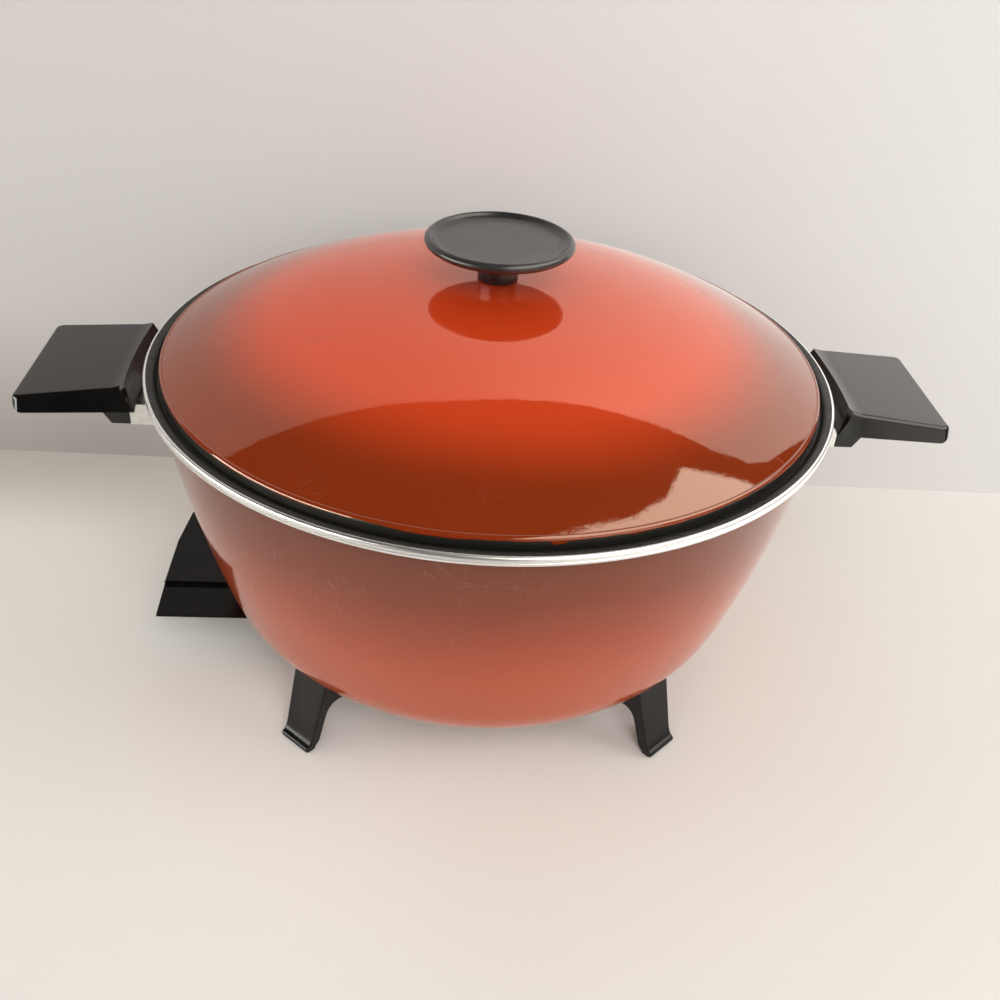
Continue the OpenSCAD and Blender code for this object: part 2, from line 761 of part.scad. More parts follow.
// Upright sheet that the sheath ends and the probe well pass through, with two tabs under the base
module terminal_bracket() {
    tab_in_y = well_r + 2 * slot_gap;
    color("#b5b8ba")
    difference() {
        union() {
            translate([-terminal_x - sheet_t, -panel_half, socket_z - terminal_drop])
                cube([sheet_t, 2 * panel_half, base_under_z - socket_z + terminal_drop]);
            for (side = [0, 1])
                mirror([0, side, 0])
                    translate([-terminal_x - sheet_t, tab_in_y, base_under_z - sheet_t])
                        cube([terminal_x + sheet_t - base_plate_r + guard_foot_len, foot_out_y - tab_in_y, sheet_t]);
        }
        for (side = [-1, 1]) {
            translate([-terminal_x - sheet_t - 1, side * pin_pitch / 2, socket_z])
                rotate([0, 90, 0])
                    cylinder(r = sheath_r + slot_gap, h = sheet_t + 2);
            translate([-guard_screw_x, side * guard_screw_y, base_under_z - sheet_t - 1])
                cylinder(r = screw_r + hole_gap, h = sheet_t + 2);
        }
        translate([-terminal_x - sheet_t - 1, 0, socket_z])
            rotate([0, 90, 0])
                cylinder(r = well_r + slot_gap, h = sheet_t + 2);
    }
}

// Cross-section of the guard's plate in y and z, drawn along +X: front is +y here
function guard_section() =
    let (ledge_z = deck_z - deck_step, front = step_front + front_ledge_w)
    [[front, ledge_z], [step_front, ledge_z], [step_front, deck_z], [-deck_rear, deck_z],
     [-deck_rear, deck_z - guard_lip], [-deck_rear + guard_bevel, deck_z - guard_t],
     [step_front - guard_t, deck_z - guard_t], [step_front - guard_t, ledge_z - guard_t],
     [front - guard_bevel, ledge_z - guard_t], [front, ledge_z - guard_lip]];

module control_guard() {
    foot_in_x = base_plate_r - guard_foot_len;
    cheek_in_x = terminal_x + sheet_t + slot_gap;
    cheek_out_x = terminal_x + sheet_t + cheek_out;
    rib_z = deck_z - deck_step - guard_t;
    front = step_front + front_ledge_w;
    foot_z = base_under_z - sheet_t - guard_foot_t;
    color("#1b1b1b")
    rotate([0, 0, 180])
        difference() {
            union() {
                // plate with a low front ledge and a raised deck
                intersection() {
                    rotate([90, 0, 90])
                        linear_extrude(height = guard_out_x + deck_margin)
                            polygon(guard_section());
                    linear_extrude(height = deck_z + 1)
                        polygon([[base_r, -deck_rear], [guard_out_x - taper_back, -deck_rear],
                            [guard_out_x, -taper_start], [guard_out_x, step_front],
                            [guard_out_x + deck_margin, step_front], [guard_out_x + deck_margin, front],
                            [base_r, front]]);
                }
                // cheeks beside the socket, each running on as a shallow rib under the plate
                for (side = [-1, 1])
                    translate([0, side * (foot_in_y + guard_t / 2) + guard_t / 2, 0])
                        rotate([90, 0, 0])
                            linear_extrude(height = guard_t)
                                polygon([[cheek_in_x, cheek_z], [cheek_out_x, cheek_z],
                                    [cheek_out_x + cheek_rake, rib_z - rib_h], [guard_out_x - 4, rib_z - rib_h],
                                    [guard_out_x - 4, side > 0 ? rib_z + 1 : deck_z - 1],
                                    [cheek_in_x, side > 0 ? rib_z + 1 : deck_z - 1]]);
                // feet under the base plate
                for (side = [-1, 1])
                    translate([foot_in_x, side * guard_screw_y - guard_foot_w / 2, foot_z])
                        cube([cheek_out_x - foot_in_x, guard_foot_w, guard_foot_t]);
            }
            bowl_envelope(seat_gap);
            for (side = [-1, 1]) {
                translate([guard_screw_x, side * guard_screw_y, 0])
                    cylinder(r = screw_r + hole_gap, h = bowl_lift);
            }
        }
}

module guard_screws() {
    color("#c4c6c8")
    for (side = [-1, 1])
        translate([-guard_screw_x, side * guard_screw_y, base_under_z - sheet_t - guard_foot_t - screw_head_h])
            screw(screw_head_r, screw_head_h, screw_r, guard_foot_t + sheet_t + base_t - 0.5);
}

bowl();
lid();
lid_knob();
knob_screw();
knob_washer();
handle_left();
handle_right();
handle_bracket_left();
handle_bracket_right();
handle_screws();
leg_front_left();
leg_front_right();
leg_rear_left();
leg_rear_right();
leg_screws();
base_plate();
heating_element();
terminal_insulators();
terminal_pins();
terminal_bracket();
probe_well();
control_guard();
guard_screws();
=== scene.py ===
from math import asin, atan, atan2, cos, degrees, hypot, pi, radians, sin, sqrt, tan

import bpy
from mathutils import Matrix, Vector


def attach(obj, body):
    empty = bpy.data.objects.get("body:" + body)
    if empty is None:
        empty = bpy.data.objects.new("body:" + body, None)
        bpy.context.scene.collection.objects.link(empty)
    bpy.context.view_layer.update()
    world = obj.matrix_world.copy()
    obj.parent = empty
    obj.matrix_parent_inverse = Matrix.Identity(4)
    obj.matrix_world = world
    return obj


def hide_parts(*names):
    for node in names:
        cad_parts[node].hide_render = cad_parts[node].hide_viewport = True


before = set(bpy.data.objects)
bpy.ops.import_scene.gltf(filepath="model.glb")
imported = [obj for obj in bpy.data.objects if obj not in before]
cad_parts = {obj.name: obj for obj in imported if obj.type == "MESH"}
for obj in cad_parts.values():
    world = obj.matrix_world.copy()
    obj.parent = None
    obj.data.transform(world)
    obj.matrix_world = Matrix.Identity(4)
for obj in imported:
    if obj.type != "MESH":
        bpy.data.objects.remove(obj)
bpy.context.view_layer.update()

mm = 0.001
turn = pi * 2
print("stage: frame loaded,", len(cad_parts), "nodes")


# hand tools for the meshes

def clearSelection():
    if bpy.context.object and bpy.context.object.mode != "OBJECT":
        bpy.ops.object.mode_set(mode="OBJECT")
    bpy.ops.object.select_all(action="DESELECT")


def makeActive(piece):
    clearSelection()
    piece.select_set(True)
    bpy.context.view_layer.objects.active = piece


def editMode():
    bpy.ops.object.mode_set(mode="EDIT")


def openPiece(piece):
    makeActive(piece)
    editMode()


def objectMode():
    bpy.ops.object.mode_set(mode="OBJECT")


def pickAll():
    bpy.ops.mesh.select_all(action="SELECT")


def startPoint(name, place):
    # a plane drawn together to one vertex, the start of an outline
    clearSelection()
    bpy.ops.mesh.primitive_plane_add(size=2 * mm, location=(0, 0, 0))
    piece = bpy.context.object
    piece.name = piece.data.name = name
    editMode()
    bpy.ops.mesh.select_mode(type="VERT")
    pickAll()
    bpy.ops.mesh.merge(type="CENTER")
    bpy.ops.transform.translate(value=place)
    return piece


def drawOutline(points):
    for here, there in zip(points, points[1:]):
        step = [b - a for a, b in zip(here, there)]
        bpy.ops.mesh.extrude_region_move(TRANSFORM_OT_translate={"value": step})


def closeOutline():
    pickAll()
    bpy.ops.mesh.remove_doubles(threshold=1e-6)
    bpy.ops.mesh.edge_face_add()


def pickNone(kind):
    bpy.ops.mesh.select_mode(type=kind)
    bpy.ops.mesh.select_all(action="DESELECT")
    objectMode()
    return bpy.context.object.data


def pickVerts(test):
    for vert in pickNone("VERT").vertices:
        vert.select = bool(test(vert.co))
    editMode()


def pickEdges(test):
    mesh = pickNone("EDGE")
    for edge in mesh.edges:
        a, b = (mesh.vertices[i].co for i in edge.vertices)
        edge.select = bool(test(a, b))
    editMode()


def spinOutline(name, outline, steps):
    # outline is (radius, height) in millimetres, from axis to axis or round and back
    points = [(r * mm, 0, z * mm) for r, z in outline]
    piece = startPoint(name, points[0])
    drawOutline(points)
    pickAll()
    bpy.ops.mesh.spin(steps=steps, angle=turn, center=(0, 0, 0), axis=(0, 0, 1))
    pickAll()
    bpy.ops.mesh.remove_doubles(threshold=2e-6)
    bpy.ops.mesh.normals_make_consistent(inside=False)
    objectMode()
    return piece


def slab(name, outline, plane, low, high):
    # a flat outline in millimetres, drawn up into a solid from low to high
    def place(p, h):
        return {"xz": (p[0], h, p[1]), "xy": (p[0], p[1], h), "yz": (h, p[0], p[1])}[plane]

    points = [tuple(c * mm for c in place(p, low)) for p in outline]
    piece = startPoint(name, points[0])
    drawOutline(points + points[:1])
    closeOutline()
    rise = tuple(c * mm for c in place((0, 0), high - low))
    pickAll()
    bpy.ops.mesh.extrude_region_move(TRANSFORM_OT_translate={"value": rise})
    pickAll()
    bpy.ops.mesh.normals_make_consistent(inside=False)
    objectMode()
    return piece


def applyAll(piece):
    makeActive(piece)
    for modifier in list(piece.modifiers):
        bpy.ops.object.modifier_apply(modifier=modifier.name)


def cutBy(piece, cutter, way="DIFFERENCE", keep=False):
    modifier = piece.modifiers.new("cut", "BOOLEAN")
    modifier.operation = way
    modifier.solver = "EXACT"
    modifier.object = cutter
    applyAll(piece)
    if not keep:
        bpy.data.objects.remove(cutter, do_unlink=True)


def softenEdges(piece, width, segments=3, angle=28):
    # specks left by the cuts would pinch the soft edges
    openPiece(piece)
    pickAll()
    bpy.ops.mesh.remove_doubles(threshold=2e-5)
    objectMode()
    modifier = piece.modifiers.new("soft edges", "BEVEL")
    modifier.width = width * mm
    modifier.segments = segments
    modifier.limit_method = "ANGLE"
    modifier.angle_limit = radians(angle)
    modifier.use_clamp_overlap = False
    applyAll(piece)


def smoothPiece(piece, angle=32):
    makeActive(piece)
    bpy.ops.object.shade_smooth_by_angle(angle=radians(angle))


def flattenShading(piece):
    # the broad faces keep their own normals and the soft edges take up the turn
    modifier = piece.modifiers.new("even flats", "WEIGHTED_NORMAL")
    modifier.keep_sharp = True
    modifier.weight = 80
    applyAll(piece)


def applyPlace(name):
    # the new primitive's place and size go into its mesh
    bpy.context.object.name = name
    bpy.ops.object.transform_apply(location=True, rotation=True, scale=True)
    return bpy.context.object


def post(name, x, y, radius, low, high, sides=48):
    clearSelection()
    bpy.ops.mesh.primitive_cylinder_add(vertices=sides, radius=radius * mm, depth=(high - low) * mm,
                                        location=(x * mm, y * mm, (low + high) / 2 * mm))
    return applyPlace(name)


def block(name, low, high):
    clearSelection()
    middle = [(a + b) / 2 * mm for a, b in zip(low, high)]
    size = [(b - a) * mm for a, b in zip(low, high)]
    bpy.ops.mesh.primitive_cube_add(size=1, location=middle, scale=size)
    return applyPlace(name)


def copyPiece(piece, name, spinBy=0, mirrorX=False):
    twin = piece.copy()
    twin.data = piece.data.copy()
    twin.name = twin.data.name = name
    bpy.context.scene.collection.objects.link(twin)
    openPiece(twin)
    pickAll()
    if spinBy:
        # with no window the turn runs the other way
        bpy.ops.transform.rotate(value=-radians(spinBy), orient_axis="Z", center_override=(0, 0, 0))
    if mirrorX:
        bpy.ops.transform.resize(value=(-1, 1, 1), center_override=(0, 0, 0))
        bpy.ops.mesh.normals_make_consistent(inside=False)
    objectMode()
    return twin


def arcOf(cx, cz, radius, start, end, steps):
    angles = [radians(start + (end - start) * i / steps) for i in range(steps + 1)]
    return [(cx + radius * cos(a), cz + radius * sin(a)) for a in angles]


def curveOf(start, pull, end, steps=8):
    # the points between start and end on a curve drawn towards pull
    return [tuple((1 - t) ** 2 * a + 2 * t * (1 - t) * b + t * t * c for a, b, c in zip(start, pull, end))
            for t in [i / steps for i in range(1, steps)]]


def standOf(face):
    # a face's radius and height, and how far it looks outwards
    spot = face.center / mm
    radius = hypot(spot.x, spot.y)
    return radius, spot.z, (spot.x * face.normal.x + spot.y * face.normal.y) / max(radius, 1e-6)


# hand tools for the finishes

bench = {"tree": None}  # the node tree that is being put together


def feed(node, **sockets):
    # a key is a socket's name, or i and its number
    for key, value in sockets.items():
        socket = node.inputs[int(key[1:]) if key[1:].isdigit() else key.replace("_", " ")]
        if isinstance(value, bpy.types.NodeSocket):
            socket.id_data.links.new(value, socket)
        elif isinstance(value, tuple) and len(value) == 3 and len(socket.default_value) == 4:
            socket.default_value = (*value, 1.0)
        elif value is not None:
            socket.default_value = value


def put(kind, settings=None, **sockets):
    node = bench["tree"].nodes.new("ShaderNode" + kind)
    for key, value in (settings or {}).items():
        setattr(node, key, value)
    feed(node, **sockets)
    return node


def mathOf(way, a, b=None, clamp=False):
    return put("Math", {"operation": way, "use_clamp": clamp}, i0=a, i1=b).outputs[0]


def times(a, b, clamp=False):
    return mathOf("MULTIPLY", a, b, clamp)


def plus(a, b, clamp=False):
    return mathOf("ADD", a, b, clamp)


def minus(a, b):
    return mathOf("SUBTRACT", a, b)


def apart(a, b):
    return mathOf("ABSOLUTE", minus(a, b))


def spread(value, fromLow, fromHigh, toLow=0.0, toHigh=1.0, smooth=False):
    return put("MapRange", {"interpolation_type": "SMOOTHSTEP" if smooth else "LINEAR"}, Value=value,
               From_Min=fromLow, From_Max=fromHigh, To_Min=toLow, To_Max=toHigh).outputs[0]


def noiseOf(vector, scale, detail=3.0, rough=0.55, distort=0.0):
    return put("TexNoise", None, Vector=vector, Scale=scale, Detail=detail, Roughness=rough,
               Distortion=distort).outputs["Fac"]


def shadeOf(value, stops):
    node = put("ValToRGB", None, Fac=value)
    ramp = node.color_ramp
    while len(ramp.elements) < len(stops):
        ramp.elements.new(0.5)
    for element, (place, colour) in zip(ramp.elements, stops):
        element.position = place
        element.color = (*colour, 1.0)
    return node.outputs["Color"]


def blendOf(mask, under, over):
    return put("Mix", {"data_type": "RGBA"}, i0=mask, i6=under, i7=over).outputs[2]


def mixNumber(mask, under, over):
    return put("Mix", {"data_type": "FLOAT"}, i0=mask, i2=under, i3=over).outputs[0]


def partsOf(vector):
    return put("SeparateXYZ", None, Vector=vector).outputs


def vectorOf(x, y):
    return put("CombineXYZ", None, X=x, Y=y, Z=0.0).outputs[0]


def facingOf(a, b):
    return put("VectorMath", {"operation": "DOT_PRODUCT"}, i0=a, i1=b).outputs["Value"]


def lengthOf(vector):
    return put("VectorMath", {"operation": "LENGTH"}, i0=vector).outputs["Value"]


def startFinish(name, **constants):
    finish = bpy.data.materials.new(name)
    finish.use_nodes = True
    bench["tree"] = finish.node_tree
    shader = finish.node_tree.nodes["Principled BSDF"]
    feed(shader, **constants)
    return finish, shader


def bumpInto(shader, height, distance):
    bump = put("Bump", None, Strength=1.0, Distance=distance, Height=height)
    feed(shader, Normal=bump.outputs["Normal"])


def ownPlace():
    return put("TexCoord").outputs["Object"]


def roundPlace(place):
    # radius, angle and height about the pan's axis
    parts = partsOf(place)
    radius = lengthOf(vectorOf(parts["X"], parts["Y"]))
    return radius, mathOf("ARCTAN2", parts["Y"], parts["X"]), parts["Z"]


def newGroup(name, inputs, outputs):
    # every socket of the shared effects is a number
    group = bench["tree"] = bpy.data.node_groups.new(name, "ShaderNodeTree")
    for label, value in inputs.items():
        socket = group.interface.new_socket(name=label, in_out="INPUT", socket_type="NodeSocketFloat")
        socket.default_value = value
    for label in outputs:
        group.interface.new_socket(name=label, in_out="OUTPUT", socket_type="NodeSocketFloat")
    return group, group.nodes.new("NodeGroupInput").outputs, group.nodes.new("NodeGroupOutput")


def useGroup(group, **sockets):
    return put("Group", {"node_tree": group}, **sockets).outputs


def buildEdgeRub():
    # finds the edges of a piece and breaks them up, as hands and cloths rub them
    group, given, result = newGroup("edgeRub", {"Width": 0.6 * mm, "Grain": 400.0, "Reach": 0.5}, ["Mask"])
    rounded = put("Bevel", {"samples": 4}, Radius=given["Width"]).outputs[0]
    agree = facingOf(rounded, put("NewGeometry").outputs["Normal"])
    breaks = noiseOf(ownPlace(), given["Grain"], 4.0, 0.6)
    worn = minus(plus(breaks, given["Reach"]), 1.0)
    mask = times(spread(agree, 0.995, 0.86), spread(worn, 0.0, 0.12), clamp=True)
    feed(result, Mask=mask)
    return group


def buildMouldGrain():
    # fine skin of a moulded or fired surface, with a slow change of tone
    group, given, result = newGroup("mouldGrain", {"Fine": 1500.0, "Broad": 60.0}, ["Height", "Tone"])
    place = ownPlace()
    fine = noiseOf(place, given["Fine"], 2.0, 0.5)
    broad = noiseOf(place, given["Broad"], 3.0, 0.5)
    feed(result, Height=plus(fine, times(broad, 0.5)), Tone=broad)
    return group


def buildSettledDust():
    # light dust on what faces up, thicker in patches
    group, given, result = newGroup("settledDust", {"Amount": 0.3, "Grain": 900.0}, ["Mask"])
    place = ownPlace()
    up = partsOf(put("NewGeometry").outputs["Normal"])["Z"]
    patches = spread(noiseOf(place, 35.0, 3.0, 0.6), 0.42, 0.72)
    specks = spread(noiseOf(place, given["Grain"], 2.0, 0.7), 0.6, 0.72)
    lying = plus(times(patches, 0.35), specks)
    mask = times(times(lying, spread(up, 0.1, 0.9)), given["Amount"], clamp=True)
    feed(result, Mask=mask)
    return group


def buildFineScratches():
    # short hairlines in two directions
    group, given, result = newGroup("fineScratches", {"Scale": 60.0, "Share": 0.5}, ["Mask"])
    place = ownPlace()
    found = []
    for angle, stretch in ((25, (1.0, 26.0, 1.0)), (-52, (22.0, 1.0, 1.0))):
        turned = put("Mapping", None, Vector=place, Rotation=(0.3, 0.2, radians(angle)),
                     Scale=stretch).outputs[0]
        lines = noiseOf(turned, given["Scale"], 1.0, 0.4, 0.4)
        found.append(spread(apart(lines, 0.5), 0.006, 0.0))
    where = spread(noiseOf(place, 48.0, 2.0, 0.5),
                   minus(1.0, given["Share"]), minus(1.12, given["Share"]))
    mask = times(mathOf("MAXIMUM", found[0], found[1]), where, clamp=True)
    feed(result, Mask=mask)
    return group


def buildTurnedLines():
    # lines that run round the pan's axis, as a turning tool leaves them
    group, given, result = newGroup("turnedLines", {"Fineness": 5000.0}, ["Height", "Tone"])
    radius, angle, height = roundPlace(ownPlace())
    across = plus(times(radius, given["Fineness"]), times(height, given["Fineness"]))
    fine = vectorOf(across, times(angle, 1.2))
    slow = vectorOf(times(across, 0.15), times(angle, 3.0))
    feed(result, Height=noiseOf(fine, 1.0, 3.0, 0.6), Tone=noiseOf(slow, 1.0, 3.0, 0.5))
    return group


edgeRub = buildEdgeRub()
mouldGrain = buildMouldGrain()
settledDust = buildSettledDust()
fineScratches = buildFineScratches()
turnedLines = buildTurnedLines()
print("stage: shared effects built")


# finishes

def toned(skin, low, high):
    # from low to high with the slow tone of the skin
    return spread(skin["Tone"], 0.3, 0.7, low, high)


def startEnamel(name, cfg):
    finish, shader = startFinish(name, IOR=1.52, Specular_IOR_Level=cfg["shine"], Specular_Tint=cfg["tint"])
    skin = useGroup(mouldGrain, Fine=cfg["skin"][0], Broad=cfg["skin"][1])
    marks = useGroup(fineScratches, Scale=cfg["marks"][0], Share=cfg["marks"][1])["Mask"]
    return finish, shader, skin, marks


def unevenly(cfg, place, level):
    # a slow drift and a fine speckle, each by its noise scale, detail and reach
    for key in ("drift", "speckle"):
        scale, detail, reach = cfg[key]
        off = times(minus(noiseOf(place, scale, detail), 0.5), reach)
        level = plus(level, off, clamp=key == "speckle")
    return level


def enamelRough(cfg, skin, worn):
    return plus(toned(skin, cfg["gloss"] * 0.75, cfg["gloss"] * 1.5), times(worn, 0.15))


bowlEnamel = {
    # colours from the rim down, each at its share of the fade
    "fade": [(0.0, (0.118, 0.0185, 0.005)), (0.19, (0.172, 0.0235, 0.0066)), (0.38, (0.290, 0.039, 0.0105)),
             (0.56, (0.395, 0.058, 0.0165)), (1.0, (0.432, 0.068, 0.0205))],
    "fadeTop": 138.0, "fadeLow": 24.0, "drift": (9.0, 2.0, 0.16), "speckle": (2600.0, 1.0, 0.10),
    "shine": 0.72, "tint": (1.0, 0.90, 0.76), "gloss": 0.10, "ripple": 0.00005, "glow": (0.02, 0.12),
    "skin": (420.0, 70.0), "marks": (45.0, 0.42), "scuff": (0.62, 0.36, 0.28),
}


def finishBowlEnamel(cfg):
    finish, shader, skin, marks = startEnamel("flameEnamelBowl", cfg)
    place = ownPlace()
    height = partsOf(place)["Z"]
    level = unevenly(cfg, place, spread(height, cfg["fadeTop"] * mm, cfg["fadeLow"] * mm))
    colour = shadeOf(level, cfg["fade"])
    colour = blendOf(times(marks, 0.25), colour, cfg["scuff"])
    feed(shader, Base_Color=colour, Roughness=enamelRough(cfg, skin, marks),
         Metallic=spread(level, 0.1, 0.55, *cfg["glow"]))
    bumpInto(shader, skin["Height"], cfg["ripple"])
    return finish


lidEnamel = {
    "flame": (0.625, 0.053, 0.0105), "brown": (0.205, 0.022, 0.002), "ground": (0.006, 0.006, 0.006),
    "reach": 133.7, "fadeFrom": 0.63, "fadeTo": 0.905, "drift": (11.0, 2.0, 0.07),
    "speckle": (2600.0, 1.0, 0.08), "shine": 0.98, "tint": (1.0, 0.90, 0.72), "gloss": 0.032,
    "ripple": 0.000012, "glow": (0.13, 0.02), "skin": (380.0, 60.0), "marks": (42.0, 0.40),
    "scuff": (0.60, 0.34, 0.26),
    # where the colour coat ends, and how far it runs down: angle, half width, sharpness, depth
    "skirtTop": 145.6, "chipTop": 147.0, "drip": (-1.445, 0.026, 0.010, 1.3),
    # hairlines as arcs: centre x and y, radius, from and to in x, all in millimetres
    "hairlines": [(84.0, -30.0, 24.0, 84.0, 97.0), (108.0, -66.0, 19.0, 96.0, 108.5),
                  (98.0, -20.0, 34.0, 103.0, 113.0)],
    "hairline": (0.30, 0.06, 0.035),
    # a hazy patch: centre x and y, length, width
    "smudge": (-66.0, -41.5, 11.0, 2.4), "smudged": (0.33, 0.060, 0.022),
}


def hairlineMask(x, y, arcs):
    # thin curved scratches at their own places
    found = 0.0
    for cx, cy, radius, low, high in arcs:
        dx, dy = minus(x, cx * mm), minus(y, cy * mm)
        away = mathOf("SQRT", plus(times(dx, dx), times(dy, dy)))
        line = spread(apart(away, radius * mm), 0.32 * mm, 0.10 * mm)
        line = times(line, spread(x, low * mm, (low + 2) * mm))
        line = times(line, spread(x, high * mm, (high - 2) * mm))
        line = times(line, mathOf("LESS_THAN", y, (cy + radius * 0.4) * mm))
        found = mathOf("MAXIMUM", found, line)
    return found


def smudgeMask(place, x, y, spot):
    cx, cy, long, wide = (v * mm for v in spot)
    across = mathOf("DIVIDE", minus(x, cx), long)
    along = mathOf("DIVIDE", minus(y, cy), wide)
    off = plus(times(across, across), times(along, along))
    return times(spread(off, 1.0, 0.1, smooth=True), spread(noiseOf(place, 260.0), 0.35, 0.6))


def bareMask(cfg, place, angle, height):
    # the colour coat stops raggedly at the lid's corner, over the black ground coat
    ragged = plus(times(noiseOf(place, 160.0, 3.0, 0.6), 1.6 * mm),
                  times(noiseOf(place, 38.0, 2.0, 0.5), 2.0 * mm))
    turned, wide, sharp, low = cfg["drip"]
    ragged = plus(ragged, spread(apart(angle, turned), wide, sharp, 0.0, low * mm, True))
    top, chipTop = cfg["skirtTop"], cfg["chipTop"]
    skirt = spread(plus(height, ragged), (top + 1.9) * mm, (top + 1.75) * mm)
    chips = spread(noiseOf(place, 520.0, 2.0, 0.55), 0.69, 0.71)
    chips = times(chips, spread(height, chipTop * mm, (chipTop - 0.9) * mm))
    return mathOf("MAXIMUM", skirt, chips, clamp=True)


def finishLidEnamel(cfg):
    finish, shader, skin, marks = startEnamel("flameEnamelLid", cfg)
    place = ownPlace()
    radius, angle, height = roundPlace(place)
    out = unevenly(cfg, place, spread(radius, 0.0, cfg["reach"] * mm))
    cool = spread(out, cfg["fadeFrom"], cfg["fadeTo"], smooth=True)
    flat = partsOf(place)
    hair = hairlineMask(flat["X"], flat["Y"], cfg["hairlines"])
    haze = smudgeMask(place, flat["X"], flat["Y"], cfg["smudge"])
    bare = bareMask(cfg, place, angle, height)
    colour = blendOf(cool, cfg["flame"], cfg["brown"])
    colour = blendOf(times(marks, 0.22), colour, cfg["scuff"])
    colour = blendOf(times(hair, 0.45), colour, cfg["hairline"])
    colour = blendOf(times(haze, 0.30), colour, cfg["smudged"])
    worn = mathOf("MAXIMUM", marks, mathOf("MAXIMUM", hair, haze))
    feed(shader, Base_Color=blendOf(bare, colour, cfg["ground"]),
         Metallic=mixNumber(cool, *cfg["glow"]),
         Roughness=mixNumber(bare, enamelRough(cfg, skin, worn), 0.42))
    bumpInto(shader, minus(skin["Height"], times(bare, 1.2)), cfg["ripple"])
    return finish


groundCoat = {"dark": (0.010, 0.010, 0.010), "fleck": (0.30, 0.29, 0.27), "gloss": 0.16, "ripple": 0.00015}


def finishGroundCoat(cfg):
    finish, shader = startFinish("blackGroundEnamel", IOR=1.5)
    flecks = spread(noiseOf(ownPlace(), 700.0, 2.0, 0.5), 0.71, 0.74)
    skin = useGroup(mouldGrain, Fine=380.0, Broad=60.0)
    feed(shader, Base_Color=blendOf(flecks, cfg["dark"], cfg["fleck"]),
         Roughness=toned(skin, cfg["gloss"], cfg["gloss"] * 2))
    bumpInto(shader, skin["Height"], cfg["ripple"])
    return finish


nonStick = {"dark": (0.006, 0.006, 0.005), "light": (0.040, 0.038, 0.032), "rubbed": (0.10, 0.095, 0.09),
            "ripple": 0.00012}


def finishNonStick(cfg):
    finish, shader = startFinish("nonStickCoating", IOR=1.45, Specular_IOR_Level=0.35)
    skin = useGroup(mouldGrain, Fine=1400.0, Broad=90.0)
    rubbed = useGroup(edgeRub, Width=0.5 * mm, Grain=500.0, Reach=0.45)["Mask"]
    specks = noiseOf(ownPlace(), 1300.0, 2.0, 0.7)
    colour = shadeOf(specks, [(0.42, cfg["dark"]), (0.66, cfg["light"])])
    feed(shader, Base_Color=blendOf(times(rubbed, 0.35), colour, cfg["rubbed"]),
         Roughness=toned(skin, 0.40, 0.55))
    bumpInto(shader, skin["Height"], cfg["ripple"])
    return finish


bareBand = {"light": (0.95, 0.945, 0.93), "dark": (0.80, 0.79, 0.77), "nick": (0.45, 0.44, 0.43)}


def finishBareBand(cfg):
    finish, shader = startFinish("turnedBareAluminium", Metallic=1.0)
    lines = useGroup(turnedLines, Fineness=9000.0)
    nicks = useGroup(fineScratches, Scale=90.0, Share=0.5)["Mask"]
    colour = shadeOf(lines["Tone"], [(0.3, cfg["dark"]), (0.6, cfg["light"])])
    feed(shader, Base_Color=blendOf(times(nicks, 0.4), colour, cfg["nick"]),
         Roughness=spread(lines["Height"], 0.3, 0.7, 0.26, 0.38))
    bumpInto(shader, lines["Height"], 0.00002)
    return finish


def finishPhenolic(name, tone, gloss, dust, shine):
    # black moulded plastic: slow tone changes, rubbed edges, hairlines and a little dust
    finish, shader = startFinish(name, IOR=1.5, Specular_IOR_Level=shine)
    worn, dusty = (0.060, 0.056, 0.052), (0.30, 0.28, 0.25)
    skin = useGroup(mouldGrain, Fine=900.0, Broad=45.0)
    rubbed = useGroup(edgeRub, Width=0.7 * mm, Grain=380.0, Reach=0.52)["Mask"]
    marks = useGroup(fineScratches, Scale=70.0, Share=0.5)["Mask"]
    lying = useGroup(settledDust, Amount=dust, Grain=1100.0)["Mask"]
    dark, light = (tuple(c * share for c in tone) for share in (0.75, 1.35))
    colour = shadeOf(skin["Tone"], [(0.3, dark), (0.7, light)])
    rough = toned(skin, gloss * 0.8, gloss * 1.25)
    for mask, share in ((rubbed, 0.35), (marks, 0.25)):
        colour = blendOf(times(mask, share), colour, worn)
        rough = plus(rough, times(mask, 0.12))
    feed(shader, Base_Color=blendOf(lying, colour, dusty), Roughness=rough)
    bumpInto(shader, skin["Height"], 0.00002)
    return finish


def finishMetal(name, light, dark, gloss, bump, scale=900.0, stain=None):
    finish, shader = startFinish(name, Metallic=1.0)
    bright = tuple(min(1.0, c * 1.25) for c in light)
    skin = useGroup(mouldGrain, Fine=scale, Broad=60.0)
    marks = useGroup(fineScratches, Scale=80.0, Share=0.6)["Mask"]
    rubbed = useGroup(edgeRub, Width=0.4 * mm, Grain=600.0, Reach=0.6)["Mask"]
    grain = noiseOf(ownPlace(), scale * 0.25, 3.0, 0.6)
    colour = shadeOf(grain, [(0.3, dark), (0.7, light)])
    if stain:
        colour = blendOf(spread(skin["Tone"], 0.45, 0.75), colour, stain)
    feed(shader, Base_Color=blendOf(times(rubbed, 0.5), colour, bright),
         Roughness=plus(toned(skin, gloss * 0.8, gloss * 1.25), times(marks, 0.1)))
    bumpInto(shader, minus(skin["Height"], marks), bump)
    return finish


def finishCeramic(dark, light):
    finish, shader = startFinish("unglazedCeramic", IOR=1.5)
    skin = useGroup(mouldGrain, Fine=2500.0, Broad=150.0)
    feed(shader, Base_Color=shadeOf(skin["Tone"], [(0.3, dark), (0.7, light)]),
         Roughness=spread(skin["Height"], 0.3, 1.2, 0.55, 0.8))
    bumpInto(shader, skin["Height"], 0.00003)
    return finish


